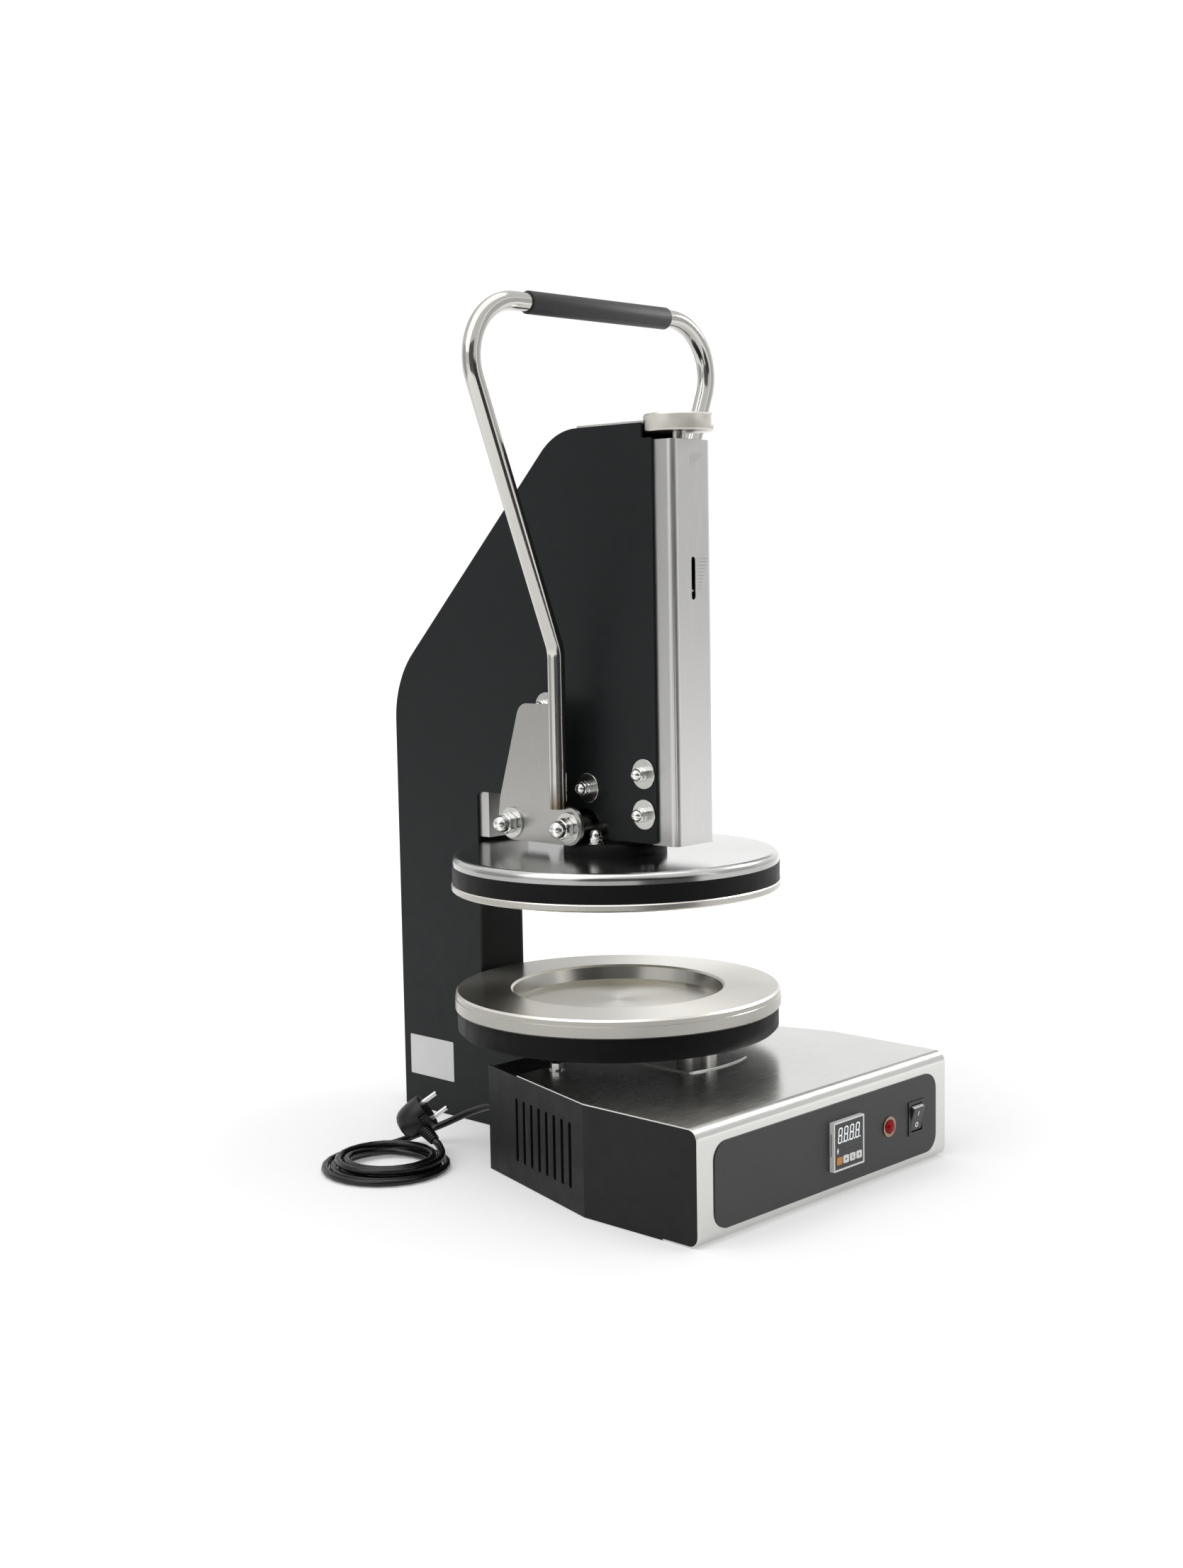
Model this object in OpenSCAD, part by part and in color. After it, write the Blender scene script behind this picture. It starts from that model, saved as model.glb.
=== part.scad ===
// Pizza dough press: two heated platens on a C-shaped frame, closed by a hand lever.
// Millimetres, +Z up, +X to the viewer's right, the front faces -Y.
// The origin is on the platen axis, at the standing surface.

/* [Base] */
// Half the width of the base at the front
base_half_w = 192; // [165:1:230]
// Front face, measured forward from the platen axis
base_front = 275; // [245:1:320]
// Height of the base
base_h = 108.7; // [95:0.1:140]
// Bend radius of the front edges
base_bend = 11; // [5:0.5:16]
// Sheet thickness of the stainless wrap and the floor
sheet = 1.5; // [1:0.1:2.5]
// Thickness of the black side panels
panel_t = 2; // [1:0.1:3]
// Where the side panels start to taper, forward from the axis
kink_y = 134; // [100:1:170]
// Rear end of the base behind the axis
base_rear = 48; // [36:1:60]
// Half the width of the base at its rear end
rear_half_w = 141.3; // [120:0.1:180]
// Rear edge of the stainless top, forward from the axis
top_rear = 10; // [4:1:24]
// Depth of the fold under the front
fold_depth = 43; // [25:1:60]
// Number of vent slots in each side panel
vent_count = 8; // [3:1:9]
// Spacing of the vent slots
vent_pitch = 15; // [12:0.5:16]
// Width of a vent slot
vent_w = 5; // [3:0.5:8]
// Height of a vent slot
vent_h = 64; // [40:1:72]

/* [Controls] */
// Height of the control line
ctl_z = 51.8; // [45:0.1:60]
// Margin between the control overlay and the ends of the front
overlay_margin = 20; // [16:1:40]
// Height of the control overlay
overlay_h = 80.5; // [70:0.5:82]
// Corner radius of the control overlay
overlay_r = 17; // [8:1:25]
// Thickness of the control overlay
overlay_t = 1.2; // [0.8:0.1:2]
// Edge length of the controller face
ctl_size = 48; // [40:1:56]
// Centre of the controller from the axis
ctl_x = 21.5; // [0:0.5:30]
// How far the controller stands out of the front
ctl_proud = 6.5; // [4:0.5:9]
// Centre of the lamp from the right end of the front
lamp_inset = 98.8; // [92:0.2:108]
// Outer diameter of the lamp ring
lamp_d = 20.3; // [14:0.1:24]
// Centre of the switch from the right end of the front
switch_inset = 53.2; // [46:0.2:60]
// Width of the switch frame
switch_w = 26.5; // [22:0.5:28]
// Height of the switch frame
switch_h = 34; // [30:0.5:40]
// Angle that the rocker turns through
rocker_swing = 24; // [12:1:28]

/* [Platens] */
// Radius of the press disc
disc_r = 170; // [150:1:185]
// Thickness of the press disc
disc_t = 7.4; // [5:0.1:10]
// Height of the black band of the upper platen
band_h = 18.6; // [14:0.1:26]
// Height of the polished cover of the upper platen
cover_h = 11; // [8:0.1:16]
// Radius of the flange on the upper platen
flange_r = 53.5; // [46:0.5:56]
// Thickness of that flange
flange_t = 12; // [9:0.5:15]
// Free height between the open platens
open_gap = 104.5; // [90:0.5:112]
// Gap left between the closed platens
closed_gap = 4.5; // [2:0.5:10]
// Thickness of the lower plate at its rim
lower_t = 19.1; // [17:0.1:25]
// Radius of the recess in the lower plate
recess_r = 109.2; // [90:0.2:125]
// Depth of that recess
recess_depth = 15; // [8:0.5:15.5]
// Height of the black skirt under the lower plate
skirt_h = 23.8; // [18:0.1:30]
// Height of the pillars that carry the lower platen
pillar_h = 19.4; // [12:0.1:30]
// Diameter of a pillar
pillar_d = 41.5; // [30:0.5:46]
// Distance of the pillars from the axis
pillar_ring = 108; // [100:1:116]
// Width of the support plate under the pillars
support_w = 88; // [70:1:96]
// Outer radius of the support plate's ends
support_r = 143; // [134:1:150]

/* [Frame] */
// Outer width of the column and head
frame_w = 64; // [60:0.5:72]
// Thickness of a side plate
plate_t = 3; // [2.5:0.5:4]
// Height of the head, underside to top
head_h = 414; // [400:1:440]
// Front edge of the side plates, forward from the axis
head_front = 87; // [84:1:92]
// Depth of the column, front to back
column_depth = 131; // [115:1:150]
// Gap between the platens and the front of the column
throat_gap = 4; // [2:1:15]
// Front face of the stainless cover, forward from the axis
cover_front = 111.6; // [110:0.2:118]
// Height above the lever bolts at which the throat ends at the column
throat_rise = 25; // [20:1:32]
// Height left under the top where the sloped back would meet the back of the column
slope_drop = 260.5; // [240:0.5:280]

/* [Lever] */
// Distance between the fixed lever bolt and the cross shaft
lever_arm = 82; // [78:0.5:86]
// Position of the cross shaft behind the platen axis
shaft_y = 10; // [8:0.5:12]
// Diameter of the cross shaft
shaft_d = 25; // [22:0.5:26]
// Angle that the lever swings through
lever_swing = 75; // [65:1:80]
// Inner face of a lever plate from the middle
lever_x = 54; // [53:0.5:60]
// Thickness of a lever plate
lever_t = 4; // [3:0.5:6]
// Diameter of the handle tube
tube_d = 18; // [14:0.5:22]
// Height of the bend in the handle above the lever bolts
bend_rise = 180; // [150:1:210]
// Height of the grip above the lever bolts
grip_rise = 521; // [490:1:560]
// Radius of the two upper bends of the handle
bow_r = 57; // [50:1:70]
// Length of the grip
grip_len = 200; // [170:1:214]
// Diameter of the grip
grip_d = 22.6; // [21:0.1:30]

/* [Adjuster] */
// Diameter of the knob
knob_d = 69; // [60:0.5:72]
// Height of the knob
knob_h = 17; // [12:0.5:22]
// Axis of the knob, forward from the platen axis
knob_y = 94; // [92:0.5:96]
// Diameter of the adjusting screw
screw_d = 16; // [12:0.5:17]
// Travel of the stop nut
nut_travel = 24; // [12:1:26]

/* [Cord] */
// Diameter of the cord
cord_d = 7.4; // [6:0.1:8]
// Outer radius of the coil, to the middle of the cord
coil_r = 66; // [62:1:74]
// Spacing of the coil's turns
coil_pitch = 8.6; // [8.5:0.1:10]
// Turns in the lower layer of the coil
coil_in = 3; // [2:0.5:3]
// Turns in the upper layer of the coil
coil_out = 1.64; // [1.64:1:2.64]

/* [Hidden] */
$fn = 72;
fit = 0.06;
gap = 0.3;
arc_n = 12;

// Heights, from the standing surface up
support_t = 1.5;
z_top = base_h - sheet;
z_support = base_h + support_t;
z_skirt = z_support + pillar_h;
z_lower = z_skirt + skirt_h;
z_rim = z_lower + lower_t;
z_disc = z_rim + open_gap;
z_band = z_disc + disc_t;
z_cover = z_band + band_h;
z_flange = z_cover + cover_h;
z_ram = z_flange + flange_t;
z_pin = z_ram + 16;
z_head = z_ram + 4;
z_crown = z_head + head_h;
travel = open_gap - closed_gap;

// Frame
column_front = disc_r + throat_gap;
column_back = column_front + column_depth;
inner = frame_w / 2 - plate_t;
outer = frame_w / 2;
bolt_y = shaft_y + lever_arm;
arm_front = 150;
shelf_z = z_top - 4.2;
sill_z = sheet + 6;
hub_r = 40;
stud_d = 8;
stud_in = 11;
stud_flats = 13;
stud_hex_h = 9;
stud_nut_h = 15.5;
stud_washer_d = 30;
stud_washer_t = 1.5;
crown_len = 89;
crown_t = 2;
channel_depth = 44;
channel_proud = 15;
channel_wall = 1.2;
channel_rise = 78;
studs = [[6.3, z_pin + 39], [-71, z_pin + 57.5], [-71, z_pin + 17], [65, z_pin + 120]];
notch_y = knob_y - sqrt(pow(knob_d / 2 + 1.2, 2) - inner * inner);
notch_z = z_crown - 15;
z_cut = z_pin + 5;
shaft_clear = shaft_d / 2 + 5.5;
lobe_front = bolt_y - sqrt(pow(lever_arm - shaft_clear, 2) - 400) + 3;

// Ram and guides
flange_nut_r = flange_r - 10.5;
stem_d = 28;
bore_d = stem_d + 2 * fit;
block_low = z_pin + 3;
block_step = z_pin + 24;
block_top = z_pin + 73;
upper_z = z_pin + 105;
upper_h = 30;
upper_front = 24;
upper_back = 82;
cross_top = z_pin + 22;
cross_half = 16;
slot_half = shaft_d / 2 + gap;
lift = travel / lever_swing;
arm_z = z_crown - 55.5;
arm_t = 14;
spring_y = 45;
spring_d = 18;
rod_d = 8;
spring_top = arm_z - travel - 12;

// Base
base_bolt_y = -23.4;
base_bolt_in = 46.6;

// Adjuster
nut_h = 16;
nut_top = arm_z - travel - 0.5;
nut_mid = nut_top - nut_h / 2;
bracket_z = z_crown - 30;
bracket_t = 10;
knob_z = z_crown - 9;
cover_top = z_crown - 17;
cover_t = 1.5;
cover_half = inner;
nose_half = cover_half - cover_t - 0.5;
slot_w = 5.5;
slot_len = nut_travel + 12.6;

// Lever
bolt_d = 16;
bolt_flats = 19;
bolt_hex_h = 10;
bolt_nut_h = 22;
washer_d = 32;
washer_t = 2.5;
lever_r = 18;
lever_rise = 125;
nut_x = lever_x + lever_t + washer_t;
tube_x = lever_x + lever_t + 7;
tube_y = shaft_y + 6.5;
tube_low = z_pin + 20;
bow_x = 114;
grip_x = 5;
bow_z = z_pin + grip_rise - bow_r;
elbow_r = 40;
reach = [bow_x - tube_x, bow_z - z_pin - bend_rise];
splay = atan2(reach[0], reach[1]) + asin(bow_r / norm(reach));
elbow_t = elbow_r * tan(splay / 2);

// Controls
overlay_half_w = base_half_w - overlay_margin;
lamp_x = base_half_w - lamp_inset;
switch_x = base_half_w - switch_inset;
front = -base_front;
face = front - overlay_t;
rocker_w = 18.5;
rocker_h = 25;
rocker_r = 15;
key_w = 8.6;
key_h = 7.6;
key_pitch = 10.3;
key_z = ctl_z - ctl_size / 2 + 9.9;
taper = atan2(base_half_w - rear_half_w, kink_y + base_rear);

// Cord: the free stretch from the gland to the coil, then the coil itself
gland_x = -95;
gland_z = 48;
gland_len = 20;
coil_c = [-211, 126];
coil_start = 70;
layer = cord_d + 0.8;
coil_z = cord_d / 2 + 0.2;
coil_turns = coil_in + coil_out;
coil_steps = 24;
relief_end = [-163.5, 108, 22.5];
relief_len = 34;
relief_rise = 30;
relief_dir = [0, cos(relief_rise), sin(relief_rise)];
plug_c = relief_end + relief_len * relief_dir;
plug_d = 37;
plug_tilt = 35;
plug_turn = -45;

// Helpers for outlines: corners are [a, b, radius], rounded by true arcs
function unit(v) = v / norm(v);
function corner(p, q, r) =
    let (c = [q[0], q[1]], u = unit([p[0], p[1]] - c), v = unit([r[0], r[1]] - c))
    let (half = acos(max(-1, min(1, u * v))) / 2, k = q[2])
    let (m = c + unit(u + v) * k / sin(half), s = c + u * k / tan(half) - m, e = c + v * k / tan(half) - m)
    let (a = atan2(s[1], s[0]), d = atan2(e[1], e[0]) - a)
    let (turn = d > 180 ? d - 360 : (d < -180 ? d + 360 : d))
    [for (i = [0 : arc_n]) m + k * [cos(a + turn * i / arc_n), sin(a + turn * i / arc_n)]];
function rounded(p) =
    let (n = len(p))
    [for (i = [0 : n - 1]) each p[i][2] > 0 ?
        corner(p[(i + n - 1) % n], p[i], p[(i + 1) % n]) : [[p[i][0], p[i][1]]]];

// A plate drawn in the Y-Z plane and grown from x0 to x1
module yz_plate(x0, x1, pts) {
    translate([x0, 0, 0]) rotate([90, 0, 90]) linear_extrude(x1 - x0) polygon(rounded(pts));
}

// A cylinder along X, Y or Z that starts at p
module x_cyl(p, d, len) { translate(p) rotate([0, 90, 0]) cylinder(d = d, h = len); }
module y_cyl(p, d, len) { translate(p) rotate([-90, 0, 0]) cylinder(d = d, h = len); }
module z_cyl(p, d, len) { translate(p) cylinder(d = d, h = len); }

// A block centred on [x, y] that stands on z
module block(p, size) { translate([p[0] - size[0] / 2, p[1] - size[1] / 2, p[2]]) cube(size); }

module both() { children(); mirror([1, 0, 0]) children(); }

module hexagon(flats, h) {
    linear_extrude(h) polygon([for (i = [0 : 5]) flats / sqrt(3) * [cos(60 * i), sin(60 * i)]]);
}

// Domed nut with a hexagon of height hex_h, on a shank that reaches back by `shank`
module dome_nut(d, flats, hex_h, h, shank) {
    dome = flats * 0.93;
    hexagon(flats, hex_h);
    cylinder(d = dome, h = h - dome / 2);
    translate([0, 0, h - dome / 2]) intersection() {
        sphere(d = dome);
        cylinder(d = flats, h = flats);
    }
    translate([0, 0, -shank]) cylinder(d = d, h = shank + 1);
}

// Turns +Z of a child to +X
module to_right() { rotate([0, 90, 0]) children(); }

// Frame pieces

module plate_outline(x0) {
    yz_plate(x0, x0 + plate_t, [
        [column_back, 0, 3],
        [column_back, z_crown - slope_drop, 105],
        [column_back - slope_drop, z_crown, 72],
        [-notch_y, z_crown, 3],
        [-notch_y, notch_z, 2],
        [-head_front, notch_z, 2],
        [-head_front, z_head, 4],
        [-21, z_head, 3],
        [-21, z_cut, 5],
        [lobe_front, z_cut, 4],
        [lobe_front, z_ram + 4, 3],
        [bolt_y - 28, z_ram + 4, 4],
        [bolt_y - 22, z_flange + 8, 4],
        [bolt_y + 20, z_flange + 8, 16],
        [bolt_y + 20, z_pin + throat_rise, 8],
        [column_front, z_pin + throat_rise, 6],
        [column_front, base_h, 10],
        [0.5 - top_rear, base_h, 0],
        [0.5 - top_rear, z_top, 0],
        [-arm_front, z_top, 4],
        [-arm_front, sheet, 4],
        [base_rear - 2.5, sheet, 0],
        [base_rear - 2.5, sill_z + 1, 0],
        [base_rear + 1, sill_z + 1, 0],
        [base_rear + 1, 0, 0]]);
}

module side_plate(x0) {
    difference() {
        plate_outline(x0);
        for (s = studs) x_cyl([x0 - 1, s[0], s[1]], stud_d, plate_t + 2);
        x_cyl([x0 - 1, bolt_y, z_pin], bolt_d, plate_t + 2);
        x_cyl([x0 - 1, shaft_y, z_pin], 2 * shaft_clear, plate_t + 2);
    }
}

module side_plate_left() { color("#2b2e30") side_plate(-outer); }
module side_plate_right() { color("#2b2e30") side_plate(inner); }

// Sheet that closes the back of the column, the slope and the rear of the crown
module back_cover() {
    w = 1.5;
    color("#2b2e30") yz_plate(-inner, inner, [
        [column_back - 1, 2, 0],
        [column_back - 1, z_crown - slope_drop - 0.5, 104],
        [column_back - slope_drop - 0.5, z_crown - 1, 71],
        [-40, z_crown - 1, 0],
        [-40, z_crown - 1 - w, 0],
        [column_back - slope_drop - 1.1, z_crown - 1 - w, 69.5],
        [column_back - 1 - w, z_crown - slope_drop - 1.1, 102.5],
        [column_back - 1 - w, 2, 0]]);
}

module crown_strip() {
    color("#c9cac6") difference() {
        block([0, -30.5, z_crown], [frame_w, crown_len, crown_t]);
        z_cyl([0, -knob_y, z_crown - 1], knob_d + 3, crown_t + 2);
    }
}

module column_web() {
    color("#2b2e30") block([0, column_front + 0.75, base_h], [2 * inner, 1.5, z_flange + 4 - base_h]);
}

module throat_channel() {
    low = z_flange + 4;
    h = z_pin + channel_rise - low;
    y = column_front - channel_proud + channel_depth / 2;
    color("#c9cac6") difference() {
        block([0, y, low], [2 * inner, channel_depth, h]);
        block([0, y + channel_wall, low - 1], [2 * (inner - channel_wall), channel_depth, h + 2]);
    }
}

module front_cover() {
    low = z_head - 1.3;
    h = cover_top - low;
    back = head_front - 8;
    color("#c9cac6") difference() {
        translate([0, 0, low]) linear_extrude(h) polygon(rounded([
            [-cover_half, -back, 0],
            [-cover_half, -cover_front, 8],
            [cover_half, -cover_front, 8],
            [cover_half, -back, 0],
            [cover_half - cover_t, -back, 0],
            [cover_half - cover_t, cover_t - cover_front, 6.5],
            [cover_t - cover_half, cover_t - cover_front, 6.5],
            [cover_t - cover_half, -back, 0]]));
        slot_mid = nut_mid + nut_travel / 2;
        block([0, -cover_front, slot_mid - slot_len / 2], [slot_w, 8, slot_len]);
        for (s = [-1, 1]) y_cyl([0, -cover_front - 4, slot_mid + s * slot_len / 2], slot_w, 8);
    }
}

// Block inside the front cover, round the adjusting screw; it starts `from` forward of the axis
module nose(z, from, h) {
    to = knob_y + 9;
    block([0, -(from + to) / 2, z], [2 * nose_half, to - from, h]);
}

// Blind holes for one pair of studs, from the side plates inward
module stud_holes(at) {
    both() x_cyl([inner - stud_in, at[0], at[1]], stud_d, stud_in);
}

// Block between the side plates that guides the ram; its nose carries the adjusting screw
module guide_block() {
    back = lobe_front - 4;
    color("#8d9092") difference() {
        union() {
            yz_plate(-inner, inner, [
                [-head_front + 8.5, block_low, 2],
                [-22, block_low, 2],
                [-22, block_step, 2],
                [back, block_step, 2],
                [back, block_top, 2],
                [-head_front + 8.5, block_top, 2]]);
            nose(block_top - 30, head_front - 8.5, 30);
        }
        z_cyl([0, 0, block_low - 1], bore_d, block_top);
        z_cyl([0, -knob_y, block_top - 22], 12 + 2 * fit, 40);
        for (i = [0 : 2]) stud_holes(studs[i]);
    }
}

module upper_guide() {
    color("#8d9092") difference() {
        yz_plate(-inner, inner, [
            [-upper_front, upper_z, 3],
            [upper_back, upper_z, 3],
            [upper_back, upper_z + upper_h, 3],
            [-upper_front, upper_z + upper_h, 3]]);
        z_cyl([0, 0, upper_z - 1], bore_d, upper_h + 2);
        stud_holes(studs[3]);
    }
}

module guide_nuts() {
    color("#d6d7d3") both() for (s = studs) {
        translate([outer + stud_washer_t, s[0], s[1]]) to_right()
            dome_nut(stud_d, stud_flats, stud_hex_h, stud_nut_h, stud_washer_t + plate_t + stud_in);
        x_cyl([outer, s[0], s[1]], stud_washer_d, stud_washer_t);
    }
}

// Shoulder bolts on which the lever turns, with their domed nuts
module pivot_bolts() {
    color("#d6d7d3") both() {
        translate([nut_x + gap, bolt_y, z_pin]) to_right()
            dome_nut(bolt_d, bolt_flats, bolt_hex_h, bolt_nut_h, nut_x + gap - inner + 1);
        translate([inner - 9, bolt_y, z_pin]) to_right() hexagon(bolt_flats + 5, 9);
        x_cyl([outer, bolt_y, z_pin], 28, lever_x - gap - outer);
    }
}

// Gas spring that carries the ram's weight: the cylinder stands on the guide block
module spring_cylinder() {
    color("#1f2022") difference() {
        z_cyl([0, -spring_y, block_top], spring_d, spring_top - block_top);
        z_cyl([0, -spring_y, block_top + 8], spring_d - 4, spring_top - block_top - 14);
        z_cyl([0, -spring_y, spring_top - 10], rod_d + 2 * fit, 20);
    }
}

module adjuster_bracket() {
    color("#8d9092") difference() {
        union() {
            block([0, -head_front + 21, bracket_z], [2 * inner, 25, bracket_t]);
            nose(bracket_z, head_front - 14, bracket_t);
        }
        z_cyl([0, -knob_y, bracket_z - 1], screw_d + 2 * fit, bracket_t + 2);
    }
}

// Base pieces

// Plan of the base, front to rear, grown or shrunk by `d` and cut at y0 and y1
function side_x(y, d) = y <= -kink_y ? base_half_w - d :
    base_half_w - d - (base_half_w - rear_half_w) * (y + kink_y) / (kink_y + base_rear);
function plan(y0, y1, d) =
    let (stops = y0 < -kink_y ? [y0, -kink_y, y1] : [y0, y1], last = len(stops) - 1)
    concat(
        [for (y = stops) [-side_x(y, d), y]],
        [for (i = [last : -1 : 0]) [side_x(stops[i], d), stops[i]]]);

module control_holes(y0, y1) {
    h = y1 - y0;
    block([ctl_x, (y0 + y1) / 2, ctl_z - 22.3], [44.6, h, 44.6]);
    y_cyl([lamp_x, y0, ctl_z], 12, h);
    block([switch_x, (y0 + y1) / 2, ctl_z - switch_h / 2 + 1.5], [switch_w - 3, h, switch_h - 3]);
}

// One folded sheet: top, front and the fold under the front
module base_wrap() {
    color("#d0d1cc") difference() {
        intersection() {
            yz_plate(-base_half_w, base_half_w, [
                [front + fold_depth, 0, 0],
                [front, 0, base_bend],
                [front, base_h, base_bend],
                [-top_rear, base_h, 0],
                [-top_rear, z_top, 0],
                [front + sheet, z_top, base_bend - sheet],
                [front + sheet, sheet, base_bend - sheet],
                [front + fold_depth, sheet, 0]]);
            translate([0, 0, -1]) linear_extrude(base_h + 2) polygon(plan(front, -top_rear, 0));
        }
        control_holes(front - 1, front + sheet + 1);
    }
}

// One round-ended vent slot
module vent_cut() {
    straight = vent_h - vent_w;
    cube([12, vent_w, straight], center = true);
    for (s = [-1, 1]) x_cyl([-6, 0, s * straight / 2], vent_w, 12);
}

module side_panel() {
    step = panel_t / cos(taper);
    run = vent_pitch * (vent_count - 1);
    mid_y = (base_rear - kink_y) / 2 - 16;
    color("#26282a") difference() {
        intersection() {
            translate([0, 0, sheet]) linear_extrude(z_top - sheet) polygon([
                [base_half_w, front],
                [base_half_w, -kink_y],
                [rear_half_w, base_rear],
                [rear_half_w - step, base_rear],
                [base_half_w - step, -kink_y],
                [base_half_w - panel_t, front]]);
            yz_plate(0, base_half_w + 1, [
                [front + sheet, sheet, base_bend - sheet],
                [front + sheet, z_top, base_bend - sheet],
                [base_rear, z_top, 0],
                [base_rear, sheet, 0]]);
        }
        translate([side_x(mid_y, 0), mid_y, ctl_z + 1.5]) rotate([0, 0, taper])
            for (i = [0 : vent_count - 1]) translate([0, i * vent_pitch - run / 2, 0]) vent_cut();
    }
}

module base_side_left() { mirror([1, 0, 0]) side_panel(); }
module base_side_right() { side_panel(); }

module base_floor() {
    color("#3b3e40") linear_extrude(sheet) polygon(plan(front + fold_depth, base_rear, 0));
}

// Rear panel with its folded top, cut out for the frame's lower arms
module base_rear_panel() {
    step = panel_t / cos(taper);
    edge = rear_half_w - step;
    slot = frame_w + 1;
    color("#26282a") difference() {
        union() {
            block([0, base_rear - 0.75, sheet], [2 * edge, 1.5, shelf_z]);
            translate([0, 0, shelf_z]) linear_extrude(sheet)
                polygon(plan(0.5 - top_rear, base_rear - 1.5, step));
        }
        block([0, (base_rear - top_rear) / 2, sill_z], [slot, base_rear + top_rear + 10, base_h]);
        y_cyl([gland_x, base_rear - 4, gland_z], 16, 8);
    }
}

// Plate on the base and the frame's lower arms that carries the two pillars
module support_plate() {
    color("#b9bab6") intersection() {
        block([0, 0, base_h], [support_w, 2 * support_r, support_t]);
        z_cyl([0, 0, base_h], 2 * support_r, support_t);
    }
}

module base_bolts() {
    color("#d6d7d3") both() translate([side_x(base_bolt_y, base_bolt_in), base_bolt_y, base_h]) {
        cylinder(d = stud_flats + 3, h = 1.5);
        hexagon(stud_flats - 1, 7);
    }
}

// Lower platen pieces

module pillars() {
    color("#c9cac6") for (s = [-1, 1])
        z_cyl([0, s * pillar_ring, z_support], pillar_d, z_lower - z_support);
}

module lower_skirt() {
    r = disc_r - 3.3;
    color("#26282a") difference() {
        rotate_extrude($fn = 120) polygon([
            [0, z_skirt], [r - 3, z_skirt], [r, z_skirt + 3], [r, z_lower], [r - 2, z_lower],
            [r - 2, z_skirt + 4], [r - 4, z_skirt + 2], [0, z_skirt + 2]]);
        for (s = [-1, 1]) z_cyl([0, s * pillar_ring, z_skirt - 1], pillar_d, 4);
    }
}

module lower_plate() {
    r = disc_r - 0.8;
    color("#bfc0bb") rotate_extrude($fn = 120) polygon([
        [0, z_lower], [r - 1.5, z_lower], [r, z_lower + 1.5], [r, z_rim - 7], [r - 1, z_rim - 6.5],
        [r - 1, z_rim - 2], [r - 3, z_rim], [recess_r + 2, z_rim], [recess_r, z_rim - 2],
        [recess_r - 3, z_rim - recess_depth], [0, z_rim - recess_depth]]);
}

module heater_ring(z, r0, r1, t) {
    rotate_extrude() polygon([[r0, z], [r1, z], [r1, z + t], [r0, z + t]]);
}

module lower_heater() { color("#5b4a3a") heater_ring(z_lower - 5, 24, pillar_ring - pillar_d / 2 - 4, 5); }

// Upper platen and ram pieces

module press_disc() {
    color("#bfc0bb") rotate_extrude($fn = 120) polygon([
        [0, z_disc], [disc_r - 1.5, z_disc], [disc_r, z_disc + 1.5], [disc_r, z_band - 1],
        [disc_r - 1, z_band], [0, z_band]]);
}

module platen_band() {
    r = disc_r - 1;
    color("#232527") heater_ring(z_band, r - 3, r, band_h);
}

module upper_heater() { color("#5b4a3a") heater_ring(z_band, hub_r + 8, disc_r - 14, 5); }

// Polished cover with a rounded rim
module platen_cover() {
    r = disc_r - 1.5;
    bend = min(7, cover_h - 3);
    color("#cfd0cc") rotate_extrude($fn = 120) polygon(rounded([
        [hub_r, z_flange, 0],
        [r, z_flange, bend],
        [r, z_cover, 0],
        [r - 3, z_cover, 0],
        [r - 3, z_flange - 3, bend - 3],
        [hub_r, z_flange - 3, 0]]));
}

// Flange on the cover, with the hub that reaches down to the press disc
module ram_flange() {
    color("#232527") rotate_extrude() polygon([
        [0, z_band], [hub_r, z_band], [hub_r, z_flange], [flange_r, z_flange], [flange_r, z_ram - 2],
        [flange_r - 2, z_ram], [0, z_ram]]);
}

module flange_nuts() {
    color("#d6d7d3") for (a = [-164, -90, -16]) rotate([0, 0, a])
        translate([flange_nut_r, 0, z_ram]) dome_nut(8, stud_flats, 6.5, 15, 0);
}

// Where the cross shaft sits in the ram while the lever is turned by t degrees
function slot_at(t) = [
    bolt_y - lever_arm * cos(t),
    z_pin - lever_arm * sin(t) + lift * t];

// Edge of the room the shaft needs at y, above its path (s = 1) or below it (s = -1)
function slot_edge(y, s) = s * max([for (i = [0 : 100])
    let (p = slot_at(lever_swing * i / 100), d = min(abs(y - p[0]), slot_half))
    s * p[1] + sqrt(pow(slot_half, 2) - d * d) - (d < slot_half ? 0 : 1000)]);

// Outline of the slot, with its 2 * n points closest together at the round ends
function slot_outline(n) =
    let (y0 = slot_at(0)[0] - slot_half, y1 = slot_at(lever_swing)[0] + slot_half)
    let (ys = [for (i = [0.5 : n]) y0 + (y1 - y0) * (1 - cos(180 * i / n)) / 2])
    concat(
        [for (y = ys) [y, slot_edge(y, -1), 0]],
        [for (i = [n - 1 : -1 : 0]) [ys[i], slot_edge(ys[i], 1), 0]]);

// Crosshead with the curved slot: the shaft runs back along it and drives the ram at a steady rate
module crosshead() {
    far = slot_at(lever_swing);
    rear = far[0] + slot_half + 8;
    rise = far[1] + slot_half + 8;
    color("#777b7d") difference() {
        yz_plate(-cross_half, cross_half, [
            [-20, z_ram, 0],
            [flange_r - 8, z_ram, 4],
            [rear, far[1] - slot_half - 9, 14],
            [rear, rise, 14],
            [lobe_front - 1, rise, 5],
            [lobe_front - 2, cross_top, 2],
            [-20, cross_top, 2]]);
        yz_plate(-cross_half - 1, cross_half + 1, slot_outline(24));
    }
}

module ram_stem() { color("#b4b6b4") z_cyl([0, 0, cross_top], stem_d, arm_z - cross_top); }

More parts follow.
